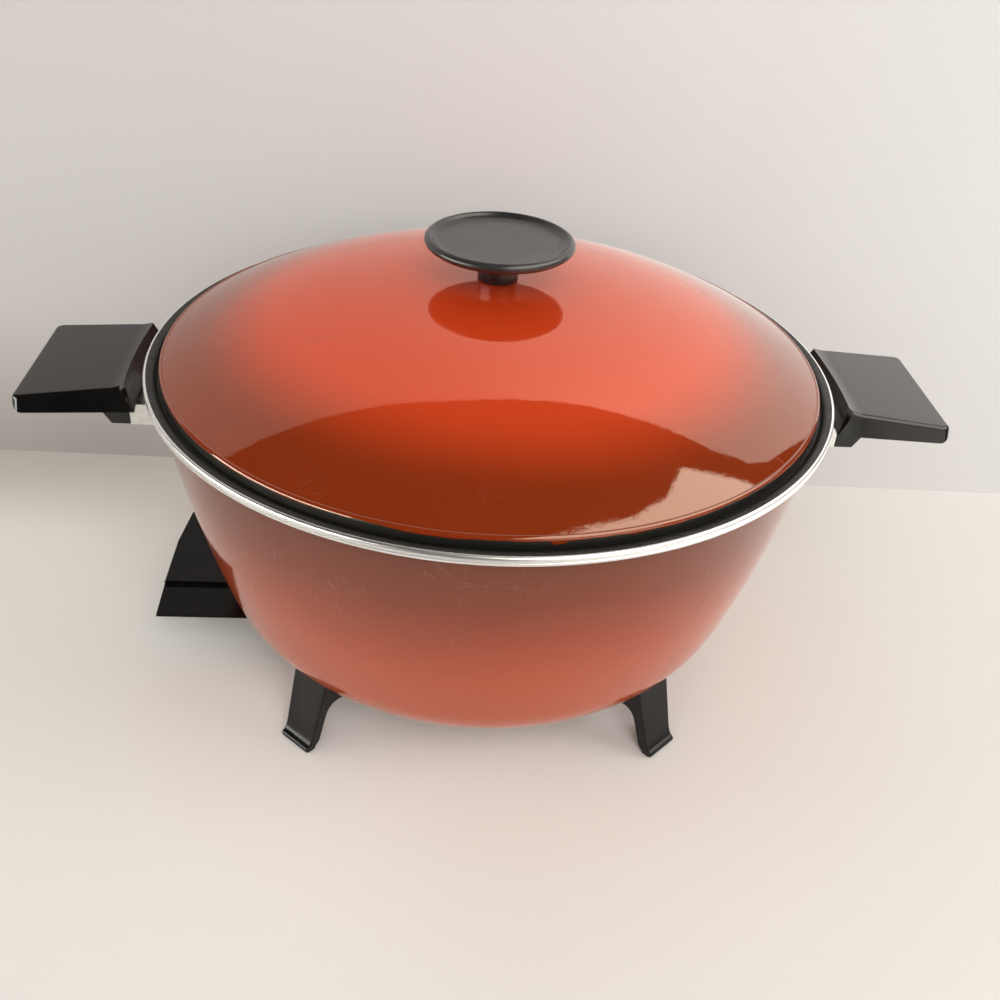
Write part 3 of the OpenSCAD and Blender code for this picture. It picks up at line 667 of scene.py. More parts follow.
enamelBowl = finishBowlEnamel(bowlEnamel)
enamelLid = finishLidEnamel(lidEnamel)
lidUnderside = finishGroundCoat(groundCoat)
panCoating = finishNonStick(nonStick)
rimBand = finishBareBand(bareBand)
# plastics: tone, roughness, dust, how strongly they mirror
knobPlastic = finishPhenolic("knobPhenolic", (0.017, 0.0160, 0.0154), 0.27, 0.02, 0.62)
handlePlastic = finishPhenolic("handlePhenolic", (0.003, 0.0028, 0.0026), 0.13, 0.015, 0.46)
legPlastic = finishPhenolic("legPhenolic", (0.003, 0.0028, 0.0025), 0.32, 0.012, 0.28)
guardPlastic = finishPhenolic("guardPhenolic", (0.0026, 0.0024, 0.0021), 0.16, 0.008, 0.15)
# metals: light and dark tone, roughness, depth of the grain, its fineness, stain
castAluminium = finishMetal("castAluminium", (0.66, 0.66, 0.67), (0.50, 0.50, 0.51), 0.42, 0.00012, 700.0)
bracketSheet = finishMetal("bracketAluminium", (0.82, 0.81, 0.79), (0.70, 0.69, 0.67), 0.34, 0.00004, 1500.0)
zincSteel = finishMetal("zincSteel", (0.66, 0.67, 0.69), (0.50, 0.51, 0.52), 0.30, 0.00003, 1800.0)
heatedSheath = finishMetal("heatedSheath", (0.30, 0.28, 0.26), (0.17, 0.16, 0.15), 0.45, 0.00006, 1300.0,
                           (0.24, 0.17, 0.12))
nickelContact = finishMetal("nickelContact", (0.78, 0.76, 0.71), (0.66, 0.64, 0.60), 0.18, 0.00002, 2000.0)
stainlessTube = finishMetal("stainlessTube", (0.62, 0.62, 0.62), (0.50, 0.50, 0.50), 0.26, 0.00003, 1600.0)
pinCeramic = finishCeramic((0.70, 0.66, 0.58), (0.82, 0.79, 0.72))

nodeFinishes = [
    (enamelBowl, "bowl"), (enamelLid, "lid"), (knobPlastic, "lid_knob"),
    (handlePlastic, "handle_left handle_right"),
    (bracketSheet, "handle_bracket_left handle_bracket_right"), (guardPlastic, "control_guard"),
    (legPlastic, "leg_front_left leg_front_right leg_rear_left leg_rear_right"),
    (castAluminium, "base_plate"), (heatedSheath, "heating_element"), (pinCeramic, "terminal_insulators"),
    (nickelContact, "terminal_pins"), (stainlessTube, "probe_well"),
    (zincSteel, "knob_screw knob_washer handle_screws leg_screws guard_screws terminal_bracket"),
]
for finish, nodeNames in nodeFinishes:
    for nodeName in nodeNames.split():
        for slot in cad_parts[nodeName].material_slots:
            slot.material = finish
print("stage: finishes on the CAD nodes")


def dress(piece, finishes, body, node):
    piece.data.materials.clear()
    for finish in finishes:
        piece.data.materials.append(finish)
    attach(piece, body)
    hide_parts(node)


# the bowl

bowlShape = {
    "baseR": 77.71, "baseZ": 22.0, "cornerR": 39.5, "wallX": -345.56, "wallZ": 200.466, "wallR": 485.0,
    "join": 18.176, "lean": 7.4, "rimR": 140.0, "rimZ": 143.5, "rimRound": 1.1,
    "seatZ": 141.5, "seatR": 131.4, "beadZ": 139.5, "innerR": 481.8, "innerCornerR": 34.0, "floorZ": 27.0,
    "turns": 224,
}


def bowlSkin(cfg, grow=0.0):
    # outer skin from the axis up to the top of the wall, grown outwards
    return ([(0, cfg["baseZ"] - grow)]
            + arcOf(cfg["baseR"], cfg["baseZ"] + cfg["cornerR"], cfg["cornerR"] + grow, -90, -cfg["join"], 20)
            + arcOf(cfg["wallX"], cfg["wallZ"], cfg["wallR"] + grow, -cfg["join"], -cfg["lean"], 26)[1:])


def bowlOutline(cfg):
    rim, top, edge, floor = cfg["rimR"], cfg["rimZ"], cfg["rimRound"], cfg["floorZ"]
    seat, seatR, bead, corner = cfg["seatZ"], cfg["seatR"], cfg["beadZ"], cfg["innerCornerR"]
    innerTop = degrees(asin((cfg["wallZ"] - bead + 2) / cfg["innerR"]))
    innerCz = floor + corner
    innerJoin = degrees(asin((cfg["wallZ"] - innerCz) / (cfg["innerR"] - corner)))
    innerCx = cfg["wallX"] + (cfg["innerR"] - corner) * cos(radians(innerJoin))
    return (bowlSkin(cfg)
            + [(136.1, 138.25), (137.2, 138.75), (138.2, 139.3), (138.9, 139.75), (139.3, 140.0)]
            # the bare band with its turned groove
            + [(139.62, 140.06), (139.88, 140.2), (rim, 140.5), (rim, 141.15), (139.86, 141.27),
               (139.86, 141.38), (rim, 141.5), (rim, top - edge)]
            + arcOf(rim - edge, top - edge, edge, 0, 90, 6)[1:]
            + [(138.2, top), (137.5, top - 0.04), (136.9, top - 0.14), (136.3, top - 0.36),
               (135.8, top - 0.7), (135.4, top - 1.15), (135.1, top - 1.6), (134.85, top - 1.9)]
            # the seat that the lid rests on, and the inside down to the floor
            + [(134.5, seat), (133.0, seat), (131.8, seat), (131.5, seat - 0.1), (seatR, seat - 0.4),
               (seatR, bead + 0.3), (131.2, bead - 0.2)]
            + arcOf(cfg["wallX"], cfg["wallZ"], cfg["innerR"], -innerTop, -innerJoin, 22)
            + arcOf(innerCx, innerCz, corner, -innerJoin, -90, 16)[1:]
            + [(60, floor), (40, floor), (20, floor), (0, floor)])


def makeBowl(cfg):
    piece = spinOutline("bowl_shell", bowlOutline(cfg), cfg["turns"])
    dress(piece, [enamelBowl, rimBand, panCoating], "cooker", "bowl")
    # enamel outside, a bare band round the rim, coating inside
    for face in piece.data.polygons:
        radius, height, outward = standOf(face)
        if radius > 138.8 and height > 139.95:
            face.material_index = 1
        elif height < 140.0 and (outward > 0.05 or face.normal.z < -0.5):
            face.material_index = 0
        else:
            face.material_index = 2
    smoothPiece(piece, 40)
    return piece


bowlPiece = makeBowl(bowlShape)
print("stage: bowl turned,", len(bowlPiece.data.polygons), "faces")


# the lid

lidShape = {
    "r": 133.7, "edgeZ": 146.0, "rise": 31.7, "power": 2.3, "t": 1.5, "edgeRound": 1.6, "skirtZ": 143.2,
    "footZ": 141.8, "footSoft": 0.3, "holeR": 2.3, "rings": 56, "turns": 256,
}


def domeZ(cfg, r):
    return cfg["edgeZ"] + cfg["rise"] * (1 - (r / cfg["r"]) ** cfg["power"])


def domeFall(cfg, r):
    return cfg["rise"] * cfg["power"] / cfg["r"] * (r / cfg["r"]) ** (cfg["power"] - 1)


def lidOutline(cfg):
    outR = cfg["r"] - cfg["edgeRound"]
    radii = [cfg["holeR"] + (outR - cfg["holeR"]) * i / cfg["rings"] for i in range(cfg["rings"] + 1)]
    outer = [(r, domeZ(cfg, r)) for r in radii]
    lean = degrees(atan(domeFall(cfg, outR)))
    centreZ = domeZ(cfg, outR) - cfg["edgeRound"] * cos(radians(lean))
    corner = arcOf(outR, centreZ, cfg["edgeRound"], 72, 0, 6)
    skirt, skirtIn, footZ, soft = cfg["r"], cfg["r"] - cfg["t"], cfg["footZ"], cfg["footSoft"]
    foot = [(skirt, cfg["skirtZ"]), (skirt, footZ + soft), (skirt - soft, footZ), (skirtIn + soft, footZ),
            (skirtIn, footZ + soft)]
    inner = []
    for r in reversed(radii):
        fall = domeFall(cfg, r)
        inner.append((min(r, skirtIn - 0.01), domeZ(cfg, r) - cfg["t"] * sqrt(1 + fall * fall)))
    return outer + corner + foot + inner + [outer[0]]


def makeLid(cfg):
    piece = spinOutline("lid_shell", lidOutline(cfg), cfg["turns"])
    dress(piece, [enamelLid, lidUnderside], "lid", "lid")
    # colour outside, the black ground coat underneath
    for face in piece.data.polygons:
        radius, _, outward = standOf(face)
        outside = face.normal.z > 0.1 or (outward > 0.3 and radius > 100)
        face.material_index = 0 if outside else 1
    smoothPiece(piece, 40)
    return piece


lidPiece = makeLid(lidShape)
print("stage: lid turned,", len(lidPiece.data.polygons), "faces")


# the knob

knobShape = {
    "lidTop": 177.7, "top": 195.1, "r": 29.8, "edgeT": 4.6, "dish": 2.2, "dishR": 24.0, "underFall": 3.2,
    "neckFall": 2.2, "lipR": 27.9, "stemR": 8.1, "flare": 0.7, "boreR": 2.05, "bore": 10.0, "turns": 160,
}


def knobOutline(cfg):
    top, foot, r, lip, stem = cfg["top"], cfg["lidTop"], cfg["r"], cfg["lipR"], cfg["stemR"]
    underZ = top - cfg["edgeT"]
    neckZ = underZ - cfg["underFall"] - cfg["neckFall"]
    low = top - cfg["dish"]
    return ([(0, foot + cfg["bore"]), (cfg["boreR"], foot + cfg["bore"] - 1), (cfg["boreR"], foot),
             (stem - 0.4, foot), (stem, foot + 0.4), (stem + 0.2, (foot + neckZ) / 2),
             (stem + cfg["flare"], neckZ)]
            # the underside opens like a trumpet
            + [(9.3, neckZ + 1.1), (10.7, neckZ + 2.0), (12.8, neckZ + 2.8), (15.6, neckZ + 3.5),
               (19.0, neckZ + 4.15), (22.7, underZ - 0.5), (26.4, underZ - 0.1)]
            # the edge turns under from a crisp lip at the top
            + [(28.0, underZ + 0.55), (29.1, underZ + 1.35), (29.65, underZ + 2.1), (r, underZ + 2.75),
               (29.72, underZ + 3.3), (29.4, underZ + 3.8), (28.85, underZ + 4.25), (lip + 0.35, top - 0.06),
               (lip, top), (lip - 0.35, top - 0.05)]
            # inside the lip the top is dished
            + [(27.1, top - 0.45), (26.5, top - 0.95), (25.8, top - 1.45), (25.0, top - 1.85),
               (cfg["dishR"], low + 0.1), (cfg["dishR"] - 1.0, low + 0.01), (16, low), (8, low), (0, low)])


def makeKnob(cfg):
    piece = spinOutline("knob_turned", knobOutline(cfg), cfg["turns"])
    dress(piece, [knobPlastic], "lid", "lid_knob")
    smoothPiece(piece, 50)
    return piece


makeKnob(knobShape)
print("stage: knob turned")


# the handles, modelled on the right and mirrored for the left

handleShape = {
    "startX": 131.6, "inX": 143.6, "outX": 187.6, "underZ": 128.3, "outerZ": 134.3, "curlZ": 137.5,
    "topZ": 139.8, "curl": 9.0, "innerHalf": 30.4, "innerTrim": 0.87, "outerHalf": 33.6, "cornerR": 3.2,
    "tipR": 4.3, "scoopBack": 60.0, "scoopLean": 3.4, "facet": 2.2, "facetX": (141.2, 144.6),
    "facetProud": 0.4, "facetSkew": 0.4, "bossIn": 148.0, "bossOut": 159.0, "bossHalf": 15.0, "bossZ": 113.3,
    "bossChamfer": 3.2, "chamferRise": 1.6, "slotX": (140, 157.1), "slotHalf": 13.5, "slotZ": (120.9, 122.7),
    "screwX": 152.29, "screwY": 8.0, "headR": 3.9, "headIn": 3.0, "shankR": 2.05, "shankIn": 5.5, "soft": 1.5,
    "bossSoft": 0.5, "draft": 11.0, "grow": 0.9,
}


def handleTop(cfg, x):
    # the top runs down to the tip and curls up towards the rim
    flatX = cfg["inX"] + cfg["curl"]
    if x < flatX:
        s = min(1.0, 1 - (x - cfg["inX"]) / cfg["curl"])
        return cfg["curlZ"] + (cfg["topZ"] - cfg["curlZ"]) * s * s
    fall = (cfg["curlZ"] - cfg["outerZ"]) / (cfg["outX"] - flatX)
    return cfg["curlZ"] - fall * (x - flatX)


def handlePlan(cfg):
    lean = degrees(atan((cfg["outerHalf"] - cfg["innerHalf"]) / (cfg["outX"] - cfg["inX"])))
    cx, cy = cfg["outX"] - cfg["cornerR"], cfg["outerHalf"] - cfg["cornerR"] + cfg["grow"]
    inner = cfg["innerHalf"] - cfg["innerTrim"] + cfg["grow"]
    return ([(cfg["startX"], -inner)] + arcOf(cx, -cy, cfg["cornerR"], -90 - lean, 0, 7)
            + arcOf(cx, cy, cfg["cornerR"], 0, 90 + lean, 7) + [(cfg["startX"], inner)])


def makeHandle(cfg):
    # a flat slab first, its sides leaning in as the mould's do and its top edge rounded
    under, top = cfg["underZ"], cfg["topZ"]
    piece = slab("handle_right_wing", handlePlan(cfg), "xy", under, top)
    draft = (top - under) * tan(radians(cfg["draft"]))
    openPiece(piece)
    pickVerts(lambda co: co.z > top * mm - 1e-5)
    bpy.ops.transform.resize(value=(1, 1 - draft / cfg["outerHalf"], 1), center_override=(0, 0, 0))
    pickEdges(lambda a, b: min(a.z, b.z) > top * mm - 1e-5)
    bpy.ops.mesh.bevel(offset=cfg["soft"] * mm, segments=4, affect="EDGES")
    for cut in range(1, 11):
        pickAll()
        bpy.ops.mesh.bisect(plane_co=((cfg["inX"] + cfg["curl"] * cut / 10) * mm, 0, 0), plane_no=(1, 0, 0),
                            threshold=1e-7)
    objectMode()
    # row by row the slab's top moves to its real height
    softZ = (top - 2 * cfg["soft"]) * mm
    rows = sorted({round(v.co.x / mm, 3) for v in piece.data.vertices if v.co.z > softZ})
    editMode()
    for row in rows:
        pickVerts(lambda co: abs(co.x / mm - row) < 6e-4 and co.z > (under + 2) * mm)
        bpy.ops.transform.translate(value=(0, 0, (handleTop(cfg, row) - top) * mm))
    objectMode()
    # the tip is rounded from below
    tipX, tipZ, past = cfg["outX"] - cfg["tipR"], under + cfg["tipR"], cfg["outX"] + 3
    bend = arcOf(tipX, tipZ, cfg["tipR"], -90, 0, 14)
    outline = [(tipX, under - 2), (past, under - 2), (past, tipZ)] + bend[::-1]
    cutBy(piece, slab("tipCut", outline, "xz", -40, 40))
    # the scooped inner face leans away from the rim
    low, high = under - 2, top + 2
    slope = cfg["scoopLean"] / (top - under)
    foot = cfg["inX"] + cfg["scoopBack"]
    clearSelection()
    radii = (foot - 2 * slope) * mm, (foot + cfg["scoopLean"] + 2 * slope) * mm
    bpy.ops.mesh.primitive_cone_add(vertices=640, radius1=radii[0], radius2=radii[1], depth=(high - low) * mm,
                                    location=(-cfg["scoopBack"] * mm, 0, (low + high) / 2 * mm))
    cutBy(piece, applyPlace("scoop"))
    # a facet at each inner corner, wide at the top and run out at the bottom
    makeActive(piece)
    cornerY = cfg["innerHalf"] + cfg["facetProud"]
    for side in (-1, 1):
        low = Vector((cfg["facetX"][0], cornerY * side, under))
        high = Vector((cfg["facetX"][1], (cornerY - draft) * side, top))
        onSide = high + Vector((cfg["facet"], 0, 0))
        onScoop = high + Vector((cfg["facetSkew"], -side * cfg["facet"], 0))
        normal = (onSide - low).cross(onScoop - low)
        if normal.x > 0:
            normal = -normal
        editMode()
        pickAll()
        bpy.ops.mesh.bisect(plane_co=tuple(low * mm), plane_no=tuple(normal.normalized()), use_fill=True,
                            clear_outer=True, threshold=1e-7)
        objectMode()
    # the boss under the wing takes the bracket's tongue and two screws
    foot, bossIn, bossOut, chamfer = cfg["bossZ"], cfg["bossIn"], cfg["bossOut"], cfg["bossChamfer"]
    outline = [(bossIn, foot), (bossOut - chamfer, foot), (bossOut, foot + chamfer * cfg["chamferRise"]),
               (bossOut, under + 2), (bossIn, under + 2)]
    boss = slab("boss", outline, "xz", -cfg["bossHalf"], cfg["bossHalf"])
    softenEdges(boss, cfg["bossSoft"], 2)
    cutBy(piece, boss, "UNION")
    corners = list(zip(cfg["slotX"], (-cfg["slotHalf"], cfg["slotHalf"]), cfg["slotZ"]))
    cutBy(piece, block("tongueSlot", *corners))
    for y in (-cfg["screwY"], cfg["screwY"]):
        cutBy(piece, post("headHole", cfg["screwX"], y, cfg["headR"], foot - 1, foot + cfg["headIn"]))
        cutBy(piece, post("shankHole", cfg["screwX"], y, cfg["shankR"], foot, under + cfg["shankIn"]))
    smoothPiece(piece)
    flattenShading(piece)
    return piece


handleRight = makeHandle(handleShape)
handleLeft = copyPiece(handleRight, "handle_left_wing", mirrorX=True)
smoothPiece(handleLeft)
flattenShading(handleLeft)
dress(handleRight, [handlePlastic], "cooker", "handle_right")
dress(handleLeft, [handlePlastic], "cooker", "handle_left")
print("stage: handles,", len(handleRight.data.polygons), "faces each")


# what the bowl leaves free for the pieces seated on it

def bowlRoom(name, gap):
    outline = bowlSkin(bowlShape, gap)
    topR = outline[-1][0]
    return spinOutline(name, outline + [(topR, 150), (0, 150)], 192)


# the legs, modelled along X and copied round

legShape = {
    "toeR": 115.01, "faceR": 113.01, "splay": 15.3, "lip": 3.4, "toeTurn": 62, "curveZ": 8.0, "kneeZ": 3.6,
    "backZ": (14.2, 5), "topZ": 61.5, "tabR": 64.71, "tabZ": 15.4, "wrapR": 46.1, "wrapTurn": -68,
    "elbowZ": 20.0, "highT": 6.8, "lowT": 6.0, "heelR": 4.6, "toeHalf": 8.0, "topHalf": 9.3, "topHalfZ": 28.6,
    "plate": 2.6, "step": 0.9, "stepRun": 0.35, "stepHalf": 8.6, "screwR": 71.21, "hole": 2.8, "gap": 0.2,
    "soft": 0.85,
    "places": {"leg_front_left": 227, "leg_front_right": -47, "leg_rear_left": 133, "leg_rear_right": 47},
}


def legFace(cfg, z):
    return cfg["faceR"] - (z - cfg["lip"] / 2) * tan(radians(cfg["splay"]))


def legSide(cfg):
    half = cfg["lip"] / 2
    # the back runs from the tab round a fillet and down to a round heel
    high, low = cfg["backZ"]
    back = [(legFace(cfg, high) - cfg["highT"] + 0.32, high), (legFace(cfg, low) - cfg["lowT"] - 0.1, low)]
    run = (Vector(back[1]) - Vector(back[0])).normalized()
    turnIn = degrees(atan2(-run.x, run.y)) % 360
    heel = cfg["heelR"]
    startZ = heel + heel * sin(radians(turnIn))
    heelX = back[1][0] + (back[1][1] - startZ) * run.x / -run.y - heel * cos(radians(turnIn))
    wrap = arcOf(bowlShape["baseR"], cfg["topZ"], cfg["wrapR"], -90, cfg["wrapTurn"], 8)
    elbow = (legFace(cfg, cfg["elbowZ"]) - cfg["highT"], cfg["elbowZ"])
    # the front face runs out to the toe in a hollow curve
    toe = arcOf(cfg["toeR"] - half, half, half, -90, cfg["toeTurn"], 9)
    end = (legFace(cfg, cfg["curveZ"]), cfg["curveZ"])
    knee = (legFace(cfg, cfg["kneeZ"]), cfg["kneeZ"])
    tab, topZ = cfg["tabR"], cfg["topZ"]
    return (toe + curveOf(toe[-1], knee, end)
            + [end, (legFace(cfg, topZ), topZ), (tab, topZ), (tab, cfg["tabZ"])]
            + wrap + curveOf(wrap[-1], elbow, back[0]) + back + arcOf(heelX, heel, heel, turnIn, 270, 9))


def makeLeg(cfg, room):
    piece = slab("leg_front_right_moulding", legSide(cfg), "xz", -cfg["toeHalf"], cfg["toeHalf"])
    widen = (cfg["topHalf"] - cfg["toeHalf"]) / cfg["topHalfZ"]
    rows = sorted({round(v.co.z / mm, 4) for v in piece.data.vertices})
    openPiece(piece)
    for row in rows:
        if row > 0.01:
            pickVerts(lambda co: abs(co.z / mm - row) < 1e-3)
            k = (cfg["toeHalf"] + widen * row) / cfg["toeHalf"]
            bpy.ops.transform.resize(value=(1, k, 1), center_override=(0, 0, 0))
    objectMode()
    softenEdges(piece, cfg["soft"])
    openPiece(piece)
    # behind the front plate the leg is narrower
    lean = radians(cfg["splay"])
    out = Vector((cos(lean), 0, sin(lean)))
    foot = Vector((legFace(cfg, 0), 0, 0))
    for depth in (cfg["plate"], cfg["plate"] + cfg["stepRun"]):
        pickAll()
        spot = foot - out * depth
        bpy.ops.mesh.bisect(plane_co=tuple(spot * mm), plane_no=tuple(out), threshold=1e-7)
    behind = foot - out * (cfg["plate"] + cfg["stepRun"] - 0.01)
    pickVerts(lambda co: (co / mm - behind).dot(out) < 0)
    bpy.ops.transform.resize(value=(1, 1 - cfg["step"] / cfg["stepHalf"], 1), center_override=(0, 0, 0))
    objectMode()
    cutBy(piece, room, keep=True)
    cutBy(piece, post("legHole", cfg["screwR"], 0, cfg["hole"], 0, 40))
    smoothPiece(piece)
    return piece


room = bowlRoom("roomForBowl", legShape["gap"])
firstLeg = makeLeg(legShape, room)
for legName, legTurn in legShape["places"].items():
    leg = copyPiece(firstLeg, legName + "_moulded", spinBy=legTurn)
    dress(leg, [legPlastic], "cooker", legName)
    smoothPiece(leg)
    flattenShading(leg)
bpy.data.objects.remove(firstLeg, do_unlink=True)
print("stage: legs,", len(leg.data.polygons), "faces each")


# the guard over the socket

guardShape = {
    "frontY": -32.5, "stepY": -13.0, "rearY": 42.0, "ledgeZ": 26.0, "ledgeRise": 1.9, "deckZ": 30.0, "t": 2.5,
    "bevel": 3.0, "lip": 0.9, "innerX": -77.71, "outX": -143.4, "ledgeOut": -143.8, "taperY": 18.0,
    "taper": 2.6, "cheekY": (19.9, 22.4), "cheekX": -85.51, "cheekOut": -94.41, "cheekZ": 8.0, "rake": 6.0,
    "ribZ": 20.3, "ribOut": -139.4, "footY": (19.9, 30.9), "footX": -60.71, "footZ": (13.8, 16.8),
    "screw": (-66.71, 25.4), "hole": 2.8, "soft": 0.35,
}


def makeGuard(g, room):
    front, step, rear, deck, ledge = g["frontY"], g["stepY"], g["rearY"], g["deckZ"], g["ledgeZ"]
    under, ledgeUnder, inner = deck - g["t"], ledge - g["t"], g["innerX"]
    thick, bevel, lip = g["t"], g["bevel"], g["lip"]
    section = [(front, ledge), (step, ledge + g["ledgeRise"]), (step, deck), (rear, deck), (rear, deck - lip),
               (rear - bevel, under), (step + thick, under), (step + thick, ledgeUnder),
               (front + bevel, ledgeUnder), (front, ledge - lip)]
    piece = slab("guard_moulding", section, "yz", -150, inner)
    outX, ledgeOut = g["outX"], g["ledgeOut"]
    plan = [(inner + 1, front - 1), (ledgeOut, front - 1), (ledgeOut, step), (outX, step + 0.4),
            (outX, g["taperY"]), (outX + g["taper"], rear + 1), (inner + 1, rear + 1)]
    cutBy(piece, slab("guardPlan", plan, "xy", 15, 40), "INTERSECT")
    for side in (-1, 1):
        # a raked cheek with its rib, and the foot that the screw holds
        top = ledgeUnder + 1 if side < 0 else deck - 1
        cheekX, cheek, rib, low = g["cheekX"], g["cheekOut"], g["ribOut"], g["cheekZ"]
        outline = [(cheekX, low), (cheek, low), (cheek - g["rake"], g["ribZ"]), (rib, g["ribZ"]), (rib, top),
                   (cheekX, top)]
        cutBy(piece, slab("cheek", outline, "xz", *sorted(side * y for y in g["cheekY"])), "UNION")
        y0, y1 = sorted(side * y for y in g["footY"])
        cutBy(piece, block("foot", (cheek, y0, g["footZ"][0]), (g["footX"], y1, g["footZ"][1])), "UNION")
    softenEdges(piece, g["soft"], 2)
    cutBy(piece, room, keep=True)
    for side in (-1, 1):
        cutBy(piece, post("guardHole", g["screw"][0], side * g["screw"][1], g["hole"], 0, 22))
    smoothPiece(piece)
    flattenShading(piece)
    return piece


guardPiece = makeGuard(guardShape, room)
dress(guardPiece, [guardPlastic], "cooker", "control_guard")
bpy.data.objects.remove(room, do_unlink=True)
print("stage: guard,", len(guardPiece.data.polygons), "faces")


# the floor, the wall, the light and the camera

setShape = {
    "floorRadius": 3.2, "floorZ": -0.0002, "wallY": 0.135, "wallLean": 7.0, "wallTurn": 1.38,
    # the board's outline, along its foot and up its slope
    "board": [(-0.62, 0.0), (0.345, 0.0), (0.375, 0.27), (0.52, 0.49), (0.548, 0.58), (0.50, 0.66),
              (0.16, 0.68), (-0.05, 0.74), (-0.62, 0.735)],
    # the set's last four colours are painted shadow at the board's foot, painted shade on the board's left, a
    # painted dark reflection past the front and painted light close in on the left
    "floor": (0.744, 0.716, 0.666), "wall": (0.588, 0.572, 0.555), "foot": (0.13, 0.09, 0.055),
    "leftShade": (0.14, 0.11, 0.08), "past": (0.04, 0.036, 0.032), "closeLight": (0.86, 0.86, 0.81),
    # a painted glow that only reflections see: how much brighter the gloss mirrors each, from and to across
    # the set
    "floorGlow": (0.10, 0.40, 0.60), "wallGlow": (-0.16, 0.34, 0.66),
}


def finishStage(name, cfg, part):
    finish, shader = startFinish(name, Roughness=0.7, IOR=1.4, Emission_Color=(1.0, 0.96, 0.92))
    colour, (low, high, most), isBoard = cfg[part], cfg[part + "Glow"], part == "wall"
    place = ownPlace()
    parts = partsOf(place)
    across, mirrored = parts["X"], put("LightPath").outputs["Is Glossy Ray"]
    # the set glows for glossy rays only, a painted brightening of its reflections
    shine = times(spread(across, low, high, 0.0, most, True), spread(across, 0.9, 0.6))
    feed(shader, Emission_Strength=times(shine, mirrored))
    tone = spread(noiseOf(place, 3.0, 3.0), 0.3, 0.7)
    tint = blendOf(tone, tuple(c * 0.985 for c in colour), tuple(min(1.0, c * 1.01) for c in colour))
    # painted shadow: the board's foot and the table next to it are painted darker on the left, where the
    # pan's shadow falls
    foot = (spread(parts["Z"], 0.10, 0.0, smooth=True) if isBoard
            else spread(parts["Y"], 0.055, 0.125, smooth=True))
    shaded = times(foot, spread(across, -0.10, -0.24, smooth=True))
    tint = blendOf(times(shaded, 0.40), tint, cfg["foot"])
    if isBoard:
        # painted shade: the board's left side is painted darker, as if it got less light
        tint = blendOf(spread(across, 0.10, -0.45, 0.0, 0.17, True), tint, cfg["leftShade"])
    else:
        # painted reflection: past the front of the table, glossy rays see the table painted dark, as if they
        # mirrored a dark room
        past = times(spread(parts["Y"], -0.34, -0.46), spread(across, 0.30, 0.05))
        tint = blendOf(times(past, mirrored), tint, cfg["past"])
        # painted light: close in on the left the table is painted lighter, as if it got more light
        closeLight = times(spread(lengthOf(place), 0.34, 0.17, smooth=True),
                      spread(across, 0.03, -0.08, 0.0, 0.5, True))
        tint = blendOf(closeLight, tint, cfg["closeLight"])
    feed(shader, Base_Color=tint)
    bumpInto(shader, noiseOf(place, 300.0, 3.0), 0.00005)
    # seen from behind or from below it isn't there
    back = put("NewGeometry").outputs["Backfacing"]
    clear = put("BsdfTransparent").outputs[0]
    both = put("MixShader", None, i0=back, i1=shader.outputs[0], i2=clear)
    feed(finish.node_tree.nodes["Material Output"], Surface=both.outputs[0])
    return finish


def makeSet(cfg):
    clearSelection()
    bpy.ops.mesh.primitive_circle_add(vertices=160, radius=cfg["floorRadius"], fill_type="NGON",
                                      location=(0, 0, cfg["floorZ"]))
    floor = applyPlace("table_top")
    floor.data.materials.append(finishStage("paleTable", cfg, "floor"))
    clearSelection()
    bpy.ops.mesh.primitive_circle_add(vertices=len(cfg["board"]), radius=1, fill_type="NGON")
    wall = bpy.context.object
    wall.name = "back_board"
    lean, turned = radians(cfg["wallLean"]), radians(cfg["wallTurn"])
    along = Vector((cos(turned), -sin(turned), 0))
    rise = Vector((0, sin(lean), cos(lean)))
    for vert, (across, up) in zip(wall.data.vertices, cfg["board"]):
        vert.co = Vector((0, cfg["wallY"], 0)) + along * across + rise * up
    wall.data.update()
    wall.visible_shadow = False
    wall.data.materials.append(finishStage("paleBoard", cfg, "wall"))
    # the board is seen only from the side of the table
    if wall.data.polygons[0].normal.y > 0:
        wall.data.flip_normals()


makeSet(setShape)

lampShapes = {
    # azimuth from the back to the right, height above the table, distance, width, height, watts, colour
    "keyLight": (168, 42, 1.6, 0.7, 0.7, 8.0, (1.0, 1.0, 1.0)),
    "frontLight": (192, 33, 1.9, 2.4, 1.4, 11.0, (1.0, 0.99, 0.97)),
    "sideLight": (104, 16, 1.0, 0.6, 0.5, 4.4, (1.0, 1.0, 1.0)),
    "leftLight": (268, 16, 1.1, 0.6, 0.5, 2.1, (1.0, 0.95, 0.88)),
}


def makeLamps(lamps):
    aim = Vector((0, 0, 0.12))
    for name, (azimuth, height, far, wide, high, watts, colour) in lamps.items():
        az, up = radians(azimuth), radians(height)
        way = Vector((sin(az) * cos(up), cos(az) * cos(up), sin(up)))
        data = bpy.data.lights.new(name, "AREA")
        data.shape = "RECTANGLE"
        data.size, data.size_y = wide, high
        data.energy, data.color = watts, colour
        lamp = bpy.data.objects.new(name, data)
        lamp.location = aim + way * far
        lamp.rotation_euler = (-way).to_track_quat("-Z", "Y").to_euler()
        bpy.context.scene.collection.objects.link(lamp)
        # what the gloss mirrors is painted in the world instead
        lamp.visible_glossy = False


makeLamps(lampShapes)

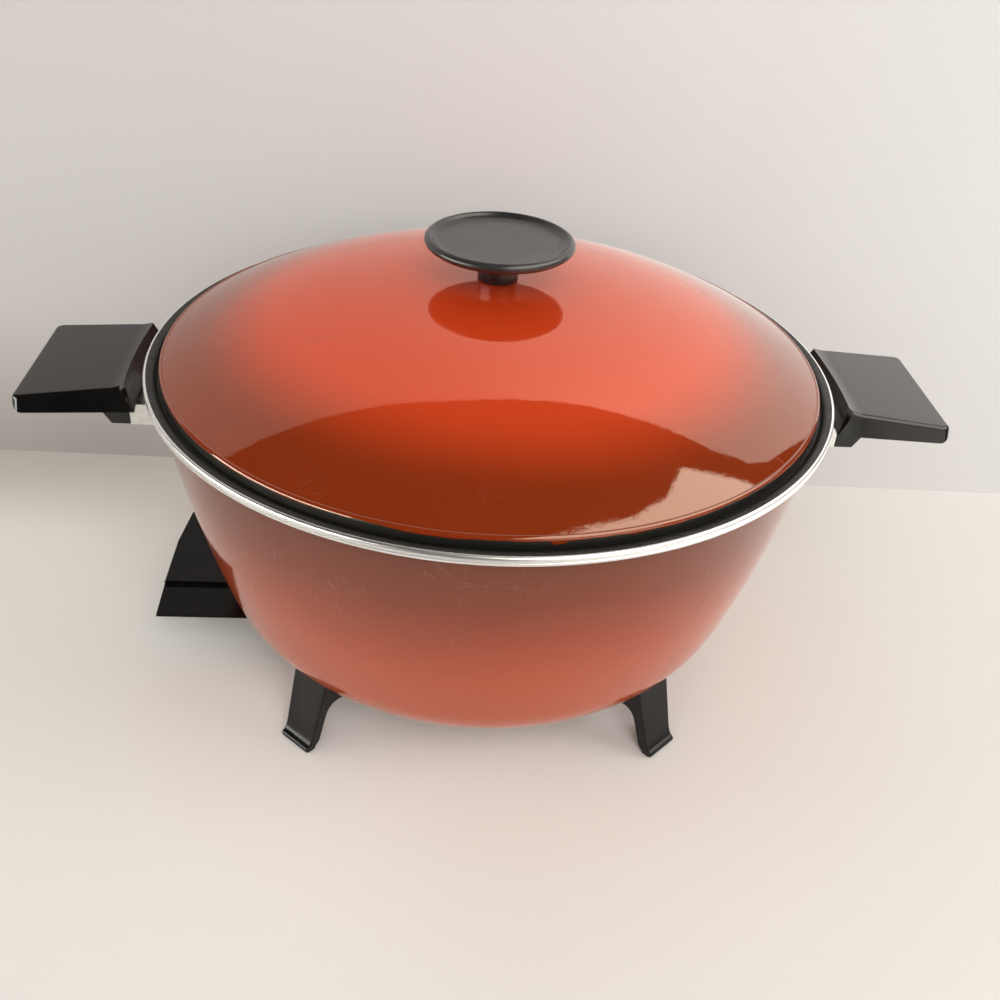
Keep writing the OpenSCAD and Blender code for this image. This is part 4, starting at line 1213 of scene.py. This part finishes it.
roomShape = {
    "seen": (0.86, 0.83, 0.80), "fill": (0.46, 0.46, 0.455), "low": (1.00, 0.98, 0.95),
    "ceiling": (0.075, 0.07, 0.065), "room": (0.06, 0.056, 0.052),
    # windows as light, planes and notch: each is where the way out lies inside all its planes and not
    # inside the whole of its notch
    "windows": [
        ((4.3, 4.0, 3.6), [(0.331, -0.935, 0.143, 0.0), (0.0, 0.0, 1.0, -0.42), (1.0, 0.0, -0.2, 0.0)],
         [(-0.399, 0.910, 0.109, 0.0), (-0.676, 0.691, 0.258, 0.0), (-0.838, 0.330, 0.437, 0.0)]),
        ((11.0, 10.8, 10.4), [(-1.0, 0.0, 0.0, -0.68), (0.0, 0.0, 1.0, -0.02), (0.0, 0.0, -1.0, 0.30),
                              (0.0, -1.0, 0.0, 0.12)], []),
        ((1.75, 1.62, 1.52), [(1.0, 0.0, 0.0, -0.26), (0.0, -1.0, 0.0, -0.6), (0.0, 0.0, 1.0, 0.1),
                              (0.0, 0.0, -1.0, 0.22)], []),
    ],
    "edge": 0.006,
}


def insideOf(way, planes, edge):
    inside = 1.0
    for x, y, z, off in planes:
        half = spread(facingOf(way, (x, y, z)), -off - edge, -off + edge)
        inside = times(inside, half)
    return inside


def makeWorld(cfg):
    world = bpy.data.worlds.new("room")
    bpy.context.scene.world = world
    world.use_nodes = True
    bench["tree"] = world.node_tree
    way = put("TexCoord").outputs["Generated"]
    up = partsOf(way)["Z"]
    mirrored = blendOf(spread(up, 0.15, 0.75, smooth=True), cfg["room"], cfg["ceiling"])
    for light, planes, notch in cfg["windows"]:
        inside = insideOf(way, planes, cfg["edge"])
        if notch:
            inside = times(inside, minus(1.0, insideOf(way, notch, cfg["edge"])))
        mirrored = blendOf(inside, mirrored, light)
    path = put("LightPath").outputs
    # the soft light is stronger from low down, so that it reaches under the bowl
    soft = blendOf(spread(up, 0.14, 0.42, smooth=True), cfg["low"], cfg["fill"])
    colour = blendOf(path["Is Glossy Ray"], soft, mirrored)
    colour = blendOf(path["Is Camera Ray"], colour, cfg["seen"])
    feed(world.node_tree.nodes["Background"], Color=colour, Strength=1.0)


makeWorld(roomShape)

cameraShape = {"place": (-0.0267237, -0.4192352, 0.3544451), "turn": (55.9303724, -3.54378693, -2.27718156),
               "lens": 40.2933, "sensor": 36.0}


def makeCamera(cfg):
    data = bpy.data.cameras.new("viewpoint")
    data.lens = cfg["lens"]
    data.sensor_width = cfg["sensor"]
    data.clip_start = 0.01
    camera = bpy.data.objects.new("viewpoint", data)
    camera.location = cfg["place"]
    camera.rotation_euler = [radians(a) for a in cfg["turn"]]
    bpy.context.scene.collection.objects.link(camera)
    bpy.context.scene.camera = camera


makeCamera(cameraShape)
bpy.context.scene.view_settings.view_transform = "Standard"
print("stage: set, lamps and camera ready")
